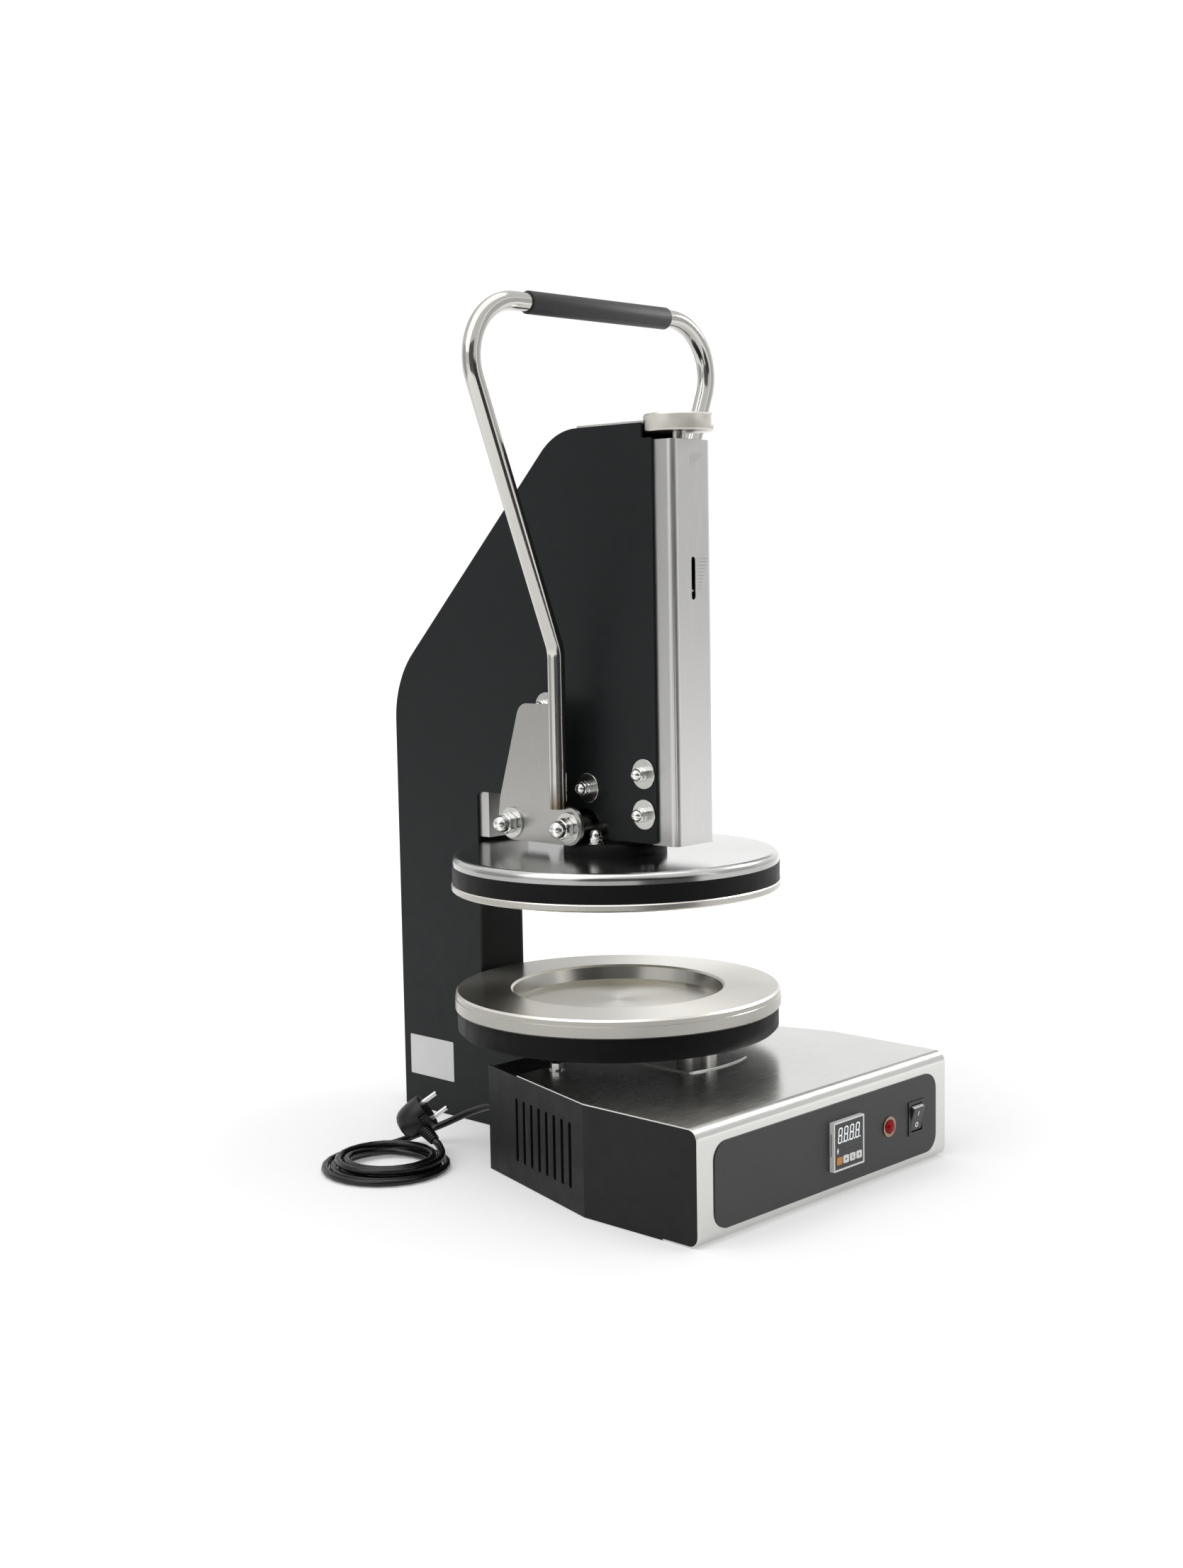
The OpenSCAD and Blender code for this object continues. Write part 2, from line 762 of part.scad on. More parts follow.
// Arm on top of the stem: it lands on the stop nut, and the gas spring lifts it
module ram_arm() {
    color("#777b7d") difference() {
        translate([-20, -knob_y - 13, arm_z]) cube([40, knob_y + 30, arm_t]);
        z_cyl([0, -knob_y, arm_z - 1], screw_d + 4, arm_t + 2);
    }
}

module spring_rod() {
    low = spring_top - 20;
    color("#c0c2c0") {
        z_cyl([0, -spring_y, low], rod_d, arm_z - low);
        z_cyl([0, -spring_y, low], spring_d - 4 - 2 * fit, 8);
    }
}

// Lever pieces

module lever_plate() {
    difference() {
        yz_plate(lever_x, lever_x + lever_t, [
            [shaft_y - lever_r, z_pin - lever_r, lever_r - 0.01],
            [bolt_y + lever_r + 6, z_pin - lever_r, lever_r + 4],
            [bolt_y + 18, z_pin + 26, 12],
            [bolt_y - 13, z_pin + lever_rise, 15],
            [tube_y, z_pin + lever_rise, 0],
            [tube_y, z_pin + lever_r + 5, 3],
            [shaft_y - lever_r, z_pin + lever_r, lever_r - 0.01]]);
        z_cyl([tube_x, tube_y, tube_low], tube_d, grip_rise);
        x_cyl([lever_x - 1, bolt_y, z_pin], bolt_d + 2 * fit, lever_t + 2);
        x_cyl([lever_x - 1, shaft_y, z_pin], bolt_d, lever_t + 2);
    }
}

module lever_plate_left() { color("#b4b6b2") mirror([1, 0, 0]) lever_plate(); }
module lever_plate_right() { color("#b4b6b2") lever_plate(); }

module cross_shaft() {
    color("#55585a") {
        x_cyl([-lever_x, shaft_y, z_pin], shaft_d, 2 * lever_x);
        x_cyl([-nut_x, shaft_y, z_pin], bolt_d, 2 * nut_x);
    }
}

module shaft_nuts() {
    color("#d6d7d3") both() translate([nut_x, shaft_y, z_pin]) to_right()
        dome_nut(bolt_d, bolt_flats, bolt_hex_h, bolt_nut_h, 0);
}

module lever_washers() {
    color("#c4c5c1") both() for (w = [[shaft_y, bolt_d], [bolt_y, bolt_d + 2 * fit]]) difference() {
        x_cyl([lever_x + lever_t, w[0], z_pin], washer_d, washer_t);
        x_cyl([lever_x, w[0], z_pin], w[1], 20);
    }
}

// Middle line of one leg of the bowed handle, [x, z] from its foot to the start of the grip
function bow_arc(c, r, a0, a1, n) =
    [for (i = [0 : n]) let (a = a0 + (a1 - a0) * i / n) c + r * [cos(a), sin(a)]];
leg_line = concat(
    [[tube_x, tube_low]],
    bow_arc([tube_x + elbow_r, z_pin + bend_rise - elbow_t], elbow_r, 180, 180 - splay, 4),
    bow_arc([bow_x, bow_z], bow_r, -splay, 90, 14));
bow_line = concat(
    [for (q = leg_line) [-q[0], tube_y, q[1]]],
    [for (i = [len(leg_line) - 1 : -1 : 0]) [leg_line[i][0], tube_y, leg_line[i][1]]]);

module handle_tube() { color("#c8c9c5") tube(bow_line, tube_d / 2, 24, [0, 1, 0]); }

module handle_grip() {
    color("#191a1b") translate([grip_x - grip_len / 2, tube_y, bow_z + bow_r]) to_right() difference() {
        cylinder(d = grip_d, h = grip_len);
        translate([0, 0, -1]) cylinder(d = tube_d, h = grip_len + 2);
    }
}

// Adjuster pieces

module adjust_knob() {
    color("#bdbeb8") translate([0, -knob_y, 0]) difference() {
        rotate_extrude() polygon([
            [0, knob_z], [knob_d / 2 - 1, knob_z], [knob_d / 2, knob_z + 1],
            [knob_d / 2, knob_z + knob_h - 1], [knob_d / 2 - 1, knob_z + knob_h], [0, knob_z + knob_h]]);
        z_cyl([0, 0, knob_z - 1], screw_d, knob_h - 3);
    }
}

module adjust_screw() {
    low = block_top - 20;
    color("#9a9c98") translate([0, -knob_y, 0]) {
        z_cyl([0, 0, low], 12, 30);
        z_cyl([0, 0, block_top + 2], screw_d, knob_z + knob_h - 4 - block_top - 2);
        z_cyl([0, 0, bracket_z - 6.3], screw_d + 8, 6);
    }
}

// Nut that stops the arm; its pointer shows in the cover's slot
module stop_nut() {
    color("#b08d4a") difference() {
        union() {
            block([0, -knob_y, nut_top - nut_h], [2 * nose_half - 6, 26, nut_h]);
            block([0, cover_t + gap + 2.5 - cover_front, nut_mid - 1], [slot_w - 1.5, 5, 2]);
        }
        z_cyl([0, -knob_y, nut_top - nut_h - 1], screw_d + 2 * fit, nut_h + 2);
    }
}

// Controls pieces

module control_overlay() {
    color("#343638") difference() {
        translate([0, front, 0]) rotate([90, 0, 0]) linear_extrude(overlay_t) polygon(rounded([
            [2 - overlay_half_w, ctl_z - overlay_h / 2, overlay_r],
            [2 + overlay_half_w, ctl_z - overlay_h / 2, overlay_r],
            [2 + overlay_half_w, ctl_z + overlay_h / 2, overlay_r],
            [2 - overlay_half_w, ctl_z + overlay_h / 2, overlay_r]]));
        control_holes(face - 1, front + 1);
    }
}

function key_x(i) = ctl_x + key_pitch * (i - 1.5);

// Opening that one key slides in
module key_window(i, y) {
    block([key_x(i), y, key_z - key_h / 2 - gap], [key_w + 2 * gap, 6, key_h + 2 * gap]);
}

module controller_case() {
    depth = ctl_proud - overlay_t;
    nose = front - ctl_proud;
    low = ctl_z - ctl_size / 2;
    color("#dcdcd6") difference() {
        union() {
            block([ctl_x, nose + depth / 2, low], [ctl_size, depth, ctl_size]);
            block([ctl_x, face + 30, ctl_z - 22.3], [44.6, 60, 44.6]);
        }
        block([ctl_x, nose, low + 1.8], [ctl_size - 3.6, 5, ctl_size - 3.6]);
        for (i = [0 : 3]) key_window(i, nose + 2);
    }
}

module controller_face() {
    nose = front - ctl_proud;
    low = ctl_z - ctl_size / 2;
    color("#2c2e30") difference() {
        block([ctl_x, nose + 1.5, low + 1.8], [ctl_size - 3.6, 2, ctl_size - 3.6]);
        for (i = [0 : 3]) key_window(i, nose + 1);
    }
}

module key(i) {
    nose = front - ctl_proud;
    block([key_x(i), nose + 1.3, key_z - key_h / 2], [key_w, 3, key_h]);
}

module key_mode() { color("#d78a2e") key(0); }
module key_shift() { color("#e8e8e4") key(1); }
module key_down() { color("#e8e8e4") key(2); }
module key_up() { color("#e8e8e4") key(3); }

module lamp_ring() {
    color("#b39a80") difference() {
        union() {
            y_cyl([lamp_x, face - 1.2, ctl_z], lamp_d, 1.2);
            y_cyl([lamp_x, face, ctl_z], 12, 24);
        }
        y_cyl([lamp_x, face - 2, ctl_z], lamp_d - 6, 1.4);
    }
}

module lamp_lens() {
    d = lamp_d - 6;
    color("#a8121c") intersection() {
        y_cyl([lamp_x, face - 6, ctl_z], d, 5.4);
        translate([lamp_x, face + 3.6, ctl_z]) sphere(r = 9);
    }
}

module switch_frame() {
    color("#1b1c1d") difference() {
        union() {
            block([switch_x, face - 0.6, ctl_z - switch_h / 2], [switch_w, 1.2, switch_h]);
            block([switch_x, face + 11, ctl_z - switch_h / 2 + 1.5], [switch_w - 3, 22, switch_h - 3]);
        }
        block([switch_x, face + 5, ctl_z - rocker_h / 2 - 1.5], [rocker_w + 2 * gap, 16, rocker_h + 3]);
        x_cyl([switch_x - rocker_w / 2 - 2, face + 4.5, ctl_z], 3 + 2 * fit, rocker_w + 4);
    }
}

// Rocker with its lower half pressed in
module switch_rocker() {
    color("#2a2b2c") translate([switch_x, face + 4.5, ctl_z]) {
        intersection() {
            translate([-rocker_w / 2, 0, 0]) rotate([rocker_swing / 2, 0, 0]) yz_plate(0, rocker_w, [
                [-9.5, -rocker_h / 2 + 1, 1],
                [-7, 0, 0],
                [-9.5, rocker_h / 2 - 1, 1],
                [3, 4, 2],
                [3, -4, 2]]);
            x_cyl([-rocker_w / 2, 0, 0], 2 * rocker_r, rocker_w);
        }
        x_cyl([-rocker_w / 2 - 1.8, 0, 0], 3, rocker_w + 3.6);
    }
}

// Cord pieces

module cord_gland() {
    color("#1d1e1f") difference() {
        union() {
            translate([gland_x, base_rear, gland_z]) rotate([-90, 0, 0]) hexagon(20, 9);
            y_cyl([gland_x, base_rear, gland_z], 16, gland_len);
            y_cyl([gland_x, base_rear - 1.5, gland_z], 16, 2);
            translate([gland_x, base_rear - 7.5, gland_z]) rotate([-90, 0, 0]) hexagon(20, 6);
        }
        y_cyl([gland_x, base_rear - 9, gland_z], cord_d, 9 + gland_len - 6);
    }
}

// A tube of n sides along a path that never runs along `ref`
function tangent(p, i) = unit(p[min(i + 1, len(p) - 1)] - p[max(i - 1, 0)]);
function ring(p, i, r, n, ref) =
    let (t = tangent(p, i), s = unit(cross(ref, t)), u = cross(t, s))
    [for (k = [0 : n - 1]) p[i] + r * (s * cos(360 * k / n) + u * sin(360 * k / n))];
module tube(p, r, n, ref) {
    m = len(p);
    points = [for (i = [0 : m - 1]) each ring(p, i, r, n, ref)];
    sides = [for (i = [0 : m - 2], k = [0 : n - 1]) let (a = i * n + k, b = i * n + (k + 1) % n)
        each [[a, a + n, b + n], [a, b + n, b]]];
    ends = [[for (k = [0 : n - 1]) k], [for (k = [n - 1 : -1 : 0]) (m - 1) * n + k]];
    polyhedron(points = points, faces = concat(sides, ends));
}

// Smooth curve through points chosen by hand
function blend(a, b, c, d, s) = b + 0.5 * s * (c - a
    + s * (2 * a - 5 * b + 4 * c - d + s * (3 * b - a - 3 * c + d)));
function spline(q, n) = concat(
    [for (i = [1 : len(q) - 3], j = [0 : n - 1]) blend(q[i - 1], q[i], q[i + 1], q[i + 2], j / n)],
    [q[len(q) - 2]]);

// The coil: turns spiral in on the lower layer, climb, and spiral out on the upper one
function smooth(s) = let (c = max(0, min(1, s))) c * c * (3 - 2 * c);
function coil_at(t) =
    let (a = coil_start + 360 * t, r = coil_r - coil_pitch * (t < coil_in ? t : 2 * coil_in - t))
    [coil_c[0] + r * cos(a), coil_c[1] + r * sin(a), coil_z + layer * smooth(2 * (t - coil_in) + 0.5)];
coil_line = [for (i = [0 : floor(coil_turns * coil_steps)]) coil_at(i / coil_steps)];
coil_end = coil_at(coil_turns);
rise_line = spline([
    coil_at(coil_turns - 0.06), coil_end, [-170.5, 89, 14.5],
    relief_end - cord_d * relief_dir, relief_end, relief_end + 20 * relief_dir], 4);
coil_path = concat([coil_line[0] + unit(coil_line[0] - coil_line[1]) * cord_d], coil_line, rise_line);
coil_gap = min([for (i = [0 : len(coil_path) - 1], j = [i + 8 : 1 : len(coil_path) - 1])
    norm(coil_path[i] - coil_path[j])]) - cord_d;
echo(coil_gap = coil_gap);

lead_end = coil_path[0];
lead_dir = unit(coil_path[0] - coil_path[1]);
lead_start = [gland_x, base_rear + gland_len, gland_z];
lead_path = spline([
    lead_start - [0, 20, 0], lead_start, lead_start + [0, cord_d, 0],
    [-94, 100, 45], [-97, 128, 34], [-109, 154, 20], [-130, 172, 10], [-154, 179, 5.2],
    lead_end + lead_dir * cord_d, lead_end, lead_end - lead_dir * 20], 4);

module cord_lead() { color("#161718") tube(lead_path, cord_d / 2, 8, [0, 0, 1]); }
module cord_coil() { color("#161718") tube(coil_path, cord_d / 2, 6, [0, 0, 1]); }

module at_plug() { translate(plug_c) rotate([0, 90 - plug_tilt, plug_turn]) children(); }

module plug_body() {
    color("#161718") {
        at_plug() {
            translate([0, 0, -8]) cylinder(d = plug_d, h = 24);
            translate([0, 0, -18]) cylinder(d1 = plug_d * 0.7, d2 = plug_d, h = 10);
        }
        translate(relief_end) rotate([relief_rise - 90, 0, 0])
            cylinder(d1 = 11, d2 = 17, h = relief_len - 8);
    }
}

module plug_pins() {
    color("#d6d7d3") at_plug() for (s = [-1, 1]) translate([9.5 * s, 0, 16]) cylinder(d = 4.8, h = 19);
}

side_plate_left();
side_plate_right();
back_cover();
crown_strip();
column_web();
throat_channel();
front_cover();
guide_block();
upper_guide();
guide_nuts();
pivot_bolts();
spring_cylinder();
adjuster_bracket();
base_wrap();
base_side_left();
base_side_right();
base_floor();
base_rear_panel();
support_plate();
base_bolts();
pillars();
lower_skirt();
lower_plate();
lower_heater();
control_overlay();
controller_case();
controller_face();
lamp_ring();
lamp_lens();
switch_frame();
cord_gland();
cord_lead();
cord_coil();
plug_body();
plug_pins();
press_disc();
platen_band();
upper_heater();
platen_cover();
ram_flange();
flange_nuts();
crosshead();
ram_stem();
ram_arm();
spring_rod();
lever_plate_left();
lever_plate_right();
cross_shaft();
shaft_nuts();
lever_washers();
handle_tube();
handle_grip();
adjust_knob();
adjust_screw();
stop_nut();
switch_rocker();
key_mode();
key_shift();
key_down();
key_up();
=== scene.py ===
"""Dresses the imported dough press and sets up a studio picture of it.

Row frame: +Z up, the control front faces -Y. The scene is in metres, and the sizes of pieces are named
in millimetres.
"""
import math

import bpy
import bmesh
from mathutils import Matrix, Vector


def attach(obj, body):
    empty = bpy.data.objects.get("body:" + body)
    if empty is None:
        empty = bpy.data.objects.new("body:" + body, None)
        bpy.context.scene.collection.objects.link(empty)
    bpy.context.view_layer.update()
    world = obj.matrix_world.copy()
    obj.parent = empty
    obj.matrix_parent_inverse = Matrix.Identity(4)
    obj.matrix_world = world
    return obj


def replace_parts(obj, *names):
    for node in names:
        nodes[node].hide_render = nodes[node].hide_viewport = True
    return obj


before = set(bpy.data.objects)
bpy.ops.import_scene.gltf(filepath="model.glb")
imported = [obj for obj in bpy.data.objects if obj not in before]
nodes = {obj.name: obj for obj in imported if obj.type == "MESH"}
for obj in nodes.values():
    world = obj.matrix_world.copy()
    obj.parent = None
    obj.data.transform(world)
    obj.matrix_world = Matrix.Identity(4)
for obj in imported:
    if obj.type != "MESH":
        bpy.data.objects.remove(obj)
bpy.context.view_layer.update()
MM = 0.001
RIGHT, UP, BACK = Vector((1, 0, 0)), Vector((0, 0, 1)), Vector((0, 1, 0))
WHITE = (1, 1, 1, 1)
SIDES = (-1, 1)
# Thickness of printed and engraved marks
THIN = 0.06 * MM


# Material helpers

# Sockets of the colour mix node: its two colours and its result
MIX_A, MIX_B, MIX_OUT = 6, 7, 2
# Range that most values of a noise texture lie in
NOISE_LOW, NOISE_HIGH = 0.3, 0.7


def shader_inputs(mat):
    """The sockets of the material's shader."""
    return mat.node_tree.nodes["Principled BSDF"].inputs


def material(name, colour, metallic=0.0, roughness=0.5, **sockets):
    """A principled material; further sockets are given with _ for a space."""
    mat = bpy.data.materials.new(name)
    mat.use_nodes = True
    inputs = shader_inputs(mat)
    inputs["Base Color"].default_value = (*colour, 1.0)
    inputs["Metallic"].default_value = metallic
    inputs["Roughness"].default_value = roughness
    for socket, value in sockets.items():
        inputs[socket.replace("_", " ")].default_value = value
    return mat


def add(mat, kind, inputs=(), **settings):
    """A node of that kind; inputs maps a socket to a value or to another node's output."""
    node = mat.node_tree.nodes.new("ShaderNode" + kind)
    for key, value in settings.items():
        setattr(node, key, value)
    for socket, value in dict(inputs).items():
        if isinstance(value, bpy.types.NodeSocket):
            mat.node_tree.links.new(value, node.inputs[socket])
        else:
            node.inputs[socket].default_value = value
    return node


def drive(mat, socket, output):
    """Links an output to one of the shader's sockets."""
    mat.node_tree.links.new(output, shader_inputs(mat)[socket])


def place(mat):
    """The point being shaded, in the row frame."""
    return add(mat, "TexCoord").outputs["Object"]


def grain(mat, scale, stretch=(1, 1, 1), detail=3.0):
    """Noise with `scale` features per metre, drawn out along the axes with a small stretch value."""
    mapped = add(mat, "Mapping", {"Vector": place(mat), "Scale": stretch})
    noise = add(mat, "TexNoise", {"Vector": mapped.outputs[0], "Scale": scale, "Detail": detail})
    return noise.outputs["Fac"]


def spread(mat, fac, low, high):
    """Maps a noise value to the range low to high."""
    limits = {"From Min": NOISE_LOW, "From Max": NOISE_HIGH, "To Min": low, "To Max": high}
    return add(mat, "MapRange", {"Value": fac, **limits}).outputs["Result"]


def vary(mat, fac, colour, dark, light):
    """Varies the base colour between two shares of it."""
    tones = {MIX_A: (*[dark * c for c in colour], 1.0), MIX_B: (*[light * c for c in colour], 1.0)}
    mix = add(mat, "Mix", {"Factor": fac, **tones}, data_type="RGBA")
    drive(mat, "Base Color", mix.outputs[MIX_OUT])


def bump(mat, height, distance, strength):
    """Roughens the surface by a height of up to `distance` millimetres."""
    made = add(mat, "Bump", {"Height": height, "Distance": distance * MM, "Strength": strength})
    drive(mat, "Normal", made.outputs[0])


# Kinds of material

def powder_coat(name, colour, roughness, shine):
    """Satin powder coat with a fine orange peel."""
    mat = material(name, colour, roughness=roughness, Specular_IOR_Level=shine)
    vary(mat, grain(mat, scale=9, detail=2), colour, dark=0.86, light=1.12)
    drive(mat, "Roughness", spread(mat, grain(mat, scale=60), roughness - 0.05, roughness + 0.06))
    bump(mat, grain(mat, scale=1100, detail=1), distance=0.03, strength=0.5)
    return mat


def brushed(name, colour, roughness, stretch, depth=0.2):
    """Sheet metal brushed along the axis with the smallest stretch value."""
    mat = material(name, colour, metallic=1.0, roughness=roughness)
    lines = grain(mat, scale=3000, stretch=stretch)
    cloud = grain(mat, scale=7, detail=2)
    vary(mat, lines, colour, dark=0.93, light=1.05)
    streaks = spread(mat, lines, -0.05, 0.06)
    patches = spread(mat, cloud, roughness, roughness + 0.05)
    drive(mat, "Roughness", add(mat, "Math", {0: streaks, 1: patches}).outputs[0])
    bump(mat, lines, distance=0.02, strength=depth)
    return mat


def turned(name, colour, roughness, anisotropy, rim=1.0, centre=(0, 0)):
    """Metal turned on a lathe: fine rings about a vertical axis, and upright faces darker, as painted
    shade.
    """
    mat = material(name, colour, metallic=1.0, roughness=roughness, Anisotropic=anisotropy)
    moved = add(mat, "VectorMath", {0: place(mat), 1: (-centre[0], -centre[1], 0)}, operation="ADD")
    flat = add(mat, "VectorMath", {0: moved.outputs[0], 1: (1, 1, 0)}, operation="MULTIPLY")
    radius = add(mat, "VectorMath", {0: flat.outputs[0]}, operation="LENGTH").outputs["Value"]
    noise = add(mat, "TexNoise", {"W": radius, "Scale": 900, "Detail": 3}, noise_dimensions="1D")
    rings = noise.outputs["Fac"]
    cloud = grain(mat, scale=6, detail=2)
    facing = add(mat, "SeparateXYZ", {0: add(mat, "NewGeometry").outputs["Normal"]})
    level = add(mat, "Math", {0: facing.outputs["Z"]}, operation="ABSOLUTE").outputs[0]
    # Upright faces get the share rim of the colour: painted shade on the sides of turned parts.
    vary(mat, level, colour, dark=rim, light=1.0)
    grooves = spread(mat, rings, -0.01, 0.01)
    patches = spread(mat, cloud, roughness - 0.02, roughness + 0.03)
    drive(mat, "Roughness", add(mat, "Math", {0: grooves, 1: patches}).outputs[0])
    drive(mat, "Tangent", add(mat, "Tangent", direction_type="RADIAL", axis="Z").outputs[0])
    drive(mat, "Anisotropic", spread(mat, level, 0.4 * anisotropy, anisotropy))
    bump(mat, rings, distance=0.02, strength=0.15)
    return mat


def plated(name, colour, roughness):
    """Bright zinc or chrome plating with faint handling marks."""
    mat = material(name, colour, metallic=1.0, roughness=roughness)
    marks = grain(mat, scale=160, detail=4)
    vary(mat, grain(mat, scale=40), colour, dark=0.9, light=1.05)
    drive(mat, "Roughness", spread(mat, marks, roughness - 0.03, roughness + 0.05))
    bump(mat, marks, distance=0.02, strength=0.1)
    return mat


def moulded(name, colour, roughness, texture=1500, depth=0.4, **sockets):
    """Moulded plastic, film or rubber with a fine surface texture."""
    mat = material(name, colour, roughness=roughness, **sockets)
    fine = grain(mat, scale=texture, detail=2)
    vary(mat, grain(mat, scale=30), colour, dark=0.92, light=1.06)
    drive(mat, "Roughness", spread(mat, fine, roughness - 0.06, roughness + 0.08))
    bump(mat, fine, distance=0.03, strength=depth)
    return mat


def glow(name, colour, strength):
    """Print that glows: lit segments on the display, and a painted glow on the rocker's marks."""
    mat = material(name, colour, roughness=0.4, Emission_Color=(*colour, 1.0), Emission_Strength=strength)
    vary(mat, grain(mat, scale=900), colour, dark=0.94, light=1.0)
    return mat


def heat_tint(mat, low, high, tone):
    """Turns the colour to `tone` from the height high down to low, as the heat of a weld does."""
    plain = shader_inputs(mat)["Base Color"].links[0].from_socket
    height = add(mat, "SeparateXYZ", {0: place(mat)}).outputs["Z"]
    fade = add(mat, "MapRange", {"Value": height, "From Min": low * MM, "From Max": high * MM})
    tones = {MIX_A: (*tone, 1.0), MIX_B: plain}
    mix = add(mat, "Mix", {"Factor": fade.outputs["Result"], **tones}, data_type="RGBA")
    drive(mat, "Base Color", mix.outputs[MIX_OUT])


# Materials

ALONG_X = (0.012, 1, 1)
ALONG_Y = (1, 0.012, 1)
ALONG_Z = (1, 1, 0.012)
SHAFT_LINES = (0.05, 1, 1)
TUBE_LINES = (1, 1, 0.03)
WELD_LOW, WELD_HIGH = 364, 390
WELD_TONE = (0.17, 0.14, 0.09)
KNOB_Y = -94

paint = powder_coat("black_paint", (0.0080, 0.0098, 0.0106), roughness=0.42, shine=0.2)
panel_paint = powder_coat("panel_paint", (0.0090, 0.0090, 0.0092), roughness=0.5, shine=0.22)
# A darker copy of the black paint, for parts under other parts and in the column's recess: painted shade.
shaded_paint = powder_coat("shaded_black_paint", (0.0035, 0.0035, 0.0036), roughness=0.5, shine=0.12)

stainless_base = brushed("stainless_base", (0.66, 0.66, 0.64), 0.20, ALONG_X, depth=0.02)
stainless_cover = brushed("stainless_cover", (0.52, 0.515, 0.505), 0.30, ALONG_Z)
stainless_lever = brushed("stainless_lever", (0.43, 0.425, 0.41), 0.30, ALONG_Z)
stainless_crown = brushed("stainless_crown", (0.64, 0.64, 0.62), 0.24, ALONG_Y)
polished_tube = brushed("polished_tube", (0.47, 0.46, 0.435), 0.10, TUBE_LINES, depth=0.05)
heat_tint(polished_tube, WELD_LOW, WELD_HIGH, WELD_TONE)
machined = brushed("machined_steel", (0.38, 0.38, 0.375), 0.30, ALONG_X)
shaft_steel = brushed("shaft_steel", (0.46, 0.45, 0.43), 0.16, SHAFT_LINES, depth=0.1)

# The rim shares paint shade on the upright faces of the platens and the cover.
platen_steel = turned("platen_steel", (0.76, 0.74, 0.68), 0.24, anisotropy=0.8, rim=0.46)
cover_steel = turned("cover_steel", (0.62, 0.62, 0.61), 0.16, anisotropy=0.45, rim=0.52)
pillar_steel = turned("pillar_steel", (0.52, 0.51, 0.49), 0.24, anisotropy=0.3)
knob_metal = turned("knob_metal", (0.56, 0.545, 0.50), 0.30, anisotropy=0.3, centre=(0, KNOB_Y * MM))

zinc = plated("zinc", (0.72, 0.72, 0.70), roughness=0.16)
washer_zinc = plated("washer_zinc", (0.62, 0.62, 0.60), roughness=0.24)
heater_metal = plated("heater_metal", (0.20, 0.15, 0.11), roughness=0.5)
lamp_metal = plated("lamp_metal", (0.32, 0.22, 0.17), roughness=0.2)
etched = plated("etched", (0.24, 0.235, 0.22), roughness=0.5)

grip_rubber = moulded("grip_rubber", (0.022, 0.022, 0.024), 0.58, texture=700, depth=0.5)
overlay_film = moulded("overlay_film", (0.030, 0.0305, 0.032), 0.5, texture=2200, depth=0.3)
label_film = moulded("label_film", (0.76, 0.765, 0.76), 0.35, texture=900, depth=0.1)
case_plastic = moulded("case_plastic", (0.86, 0.86, 0.84), 0.38)
window_plastic = moulded("window_plastic", (0.022, 0.023, 0.025), 0.28, texture=900, depth=0.1)
black_plastic = moulded("black_plastic", (0.012, 0.012, 0.0125), 0.3, texture=1200, depth=0.2)
rocker_plastic = moulded("rocker_plastic", (0.028, 0.028, 0.029), 0.26, texture=1200, depth=0.15)
plug_plastic = moulded("plug_plastic", (0.006, 0.006, 0.0063), 0.34, texture=1200, depth=0.2,
                       Specular_IOR_Level=0.35)
cord_jacket = moulded("cord_jacket", (0.004, 0.004, 0.0042), 0.24, texture=500, depth=0.1,
                      Specular_IOR_Level=0.4)
orange_key = moulded("orange_key", (0.62, 0.27, 0.05), 0.4)
white_key = moulded("white_key", (0.90, 0.90, 0.88), 0.4)
lamp_red = moulded("lamp_red", (0.30, 0.002, 0.004), 0.08, texture=300, depth=0.05, Specular_IOR_Level=0.2)
mark_grey = moulded("mark_grey", (0.10, 0.10, 0.10), 0.5)
unlit_grey = moulded("unlit_grey", (0.055, 0.057, 0.06), 0.4)
glow_white = glow("glow_white", (0.86, 0.90, 0.92), strength=0.35)

NODE_MATERIALS = {
    paint: "side_plate_left side_plate_right back_cover spring_cylinder",
    panel_paint: "base_side_left base_side_right base_rear_panel base_floor",
    # Parts under other parts and in the column's recess, in the black paint with painted shade.
    shaded_paint: "lower_skirt platen_band column_web ram_flange",
    stainless_base: "base_wrap support_plate",
    stainless_cover: "front_cover throat_channel",
    stainless_lever: "lever_plate_left lever_plate_right",
    stainless_crown: "crown_strip",
    polished_tube: "handle_tube",
    machined: "guide_block upper_guide adjuster_bracket crosshead ram_arm",
    shaft_steel: "cross_shaft ram_stem adjust_screw stop_nut spring_rod",
    platen_steel: "press_disc lower_plate",
    cover_steel: "platen_cover",
    pillar_steel: "pillars",
    zinc: "guide_nuts pivot_bolts shaft_nuts flange_nuts base_bolts plug_pins",
    washer_zinc: "lever_washers",
    knob_metal: "adjust_knob",
    heater_metal: "upper_heater lower_heater",
    grip_rubber: "handle_grip",
    overlay_film: "control_overlay",
    case_plastic: "controller_case",
    window_plastic: "controller_face",
    black_plastic: "switch_frame switch_rocker cord_gland",
    plug_plastic: "plug_body",
    cord_jacket: "cord_lead cord_coil",
    orange_key: "key_mode",
    white_key: "key_shift key_down key_up",
    lamp_metal: "lamp_ring",
    lamp_red: "lamp_lens",
}


def paint_nodes():
    """Gives each node its material."""
    for mat, names in NODE_MATERIALS.items():
        for name in names.split():
            mesh = nodes[name].data
            mesh.materials.clear()
            mesh.materials.append(mat)


# Edges of the solids

SHARP_ANGLE = 50
WELD_GAP = 0.001
# Nodes with rounded edges, by the width of the rounding
SOFT_EDGES = {
    0.5: "side_plate_left side_plate_right lever_plate_left lever_plate_right "
         "base_wrap ram_flange lower_skirt",
    0.4: "front_cover base_side_left base_side_right crown_strip support_plate handle_grip cord_gland",
    0.3: "lever_washers control_overlay controller_case switch_frame base_bolts",
    0.2: "lamp_ring throat_channel",
}


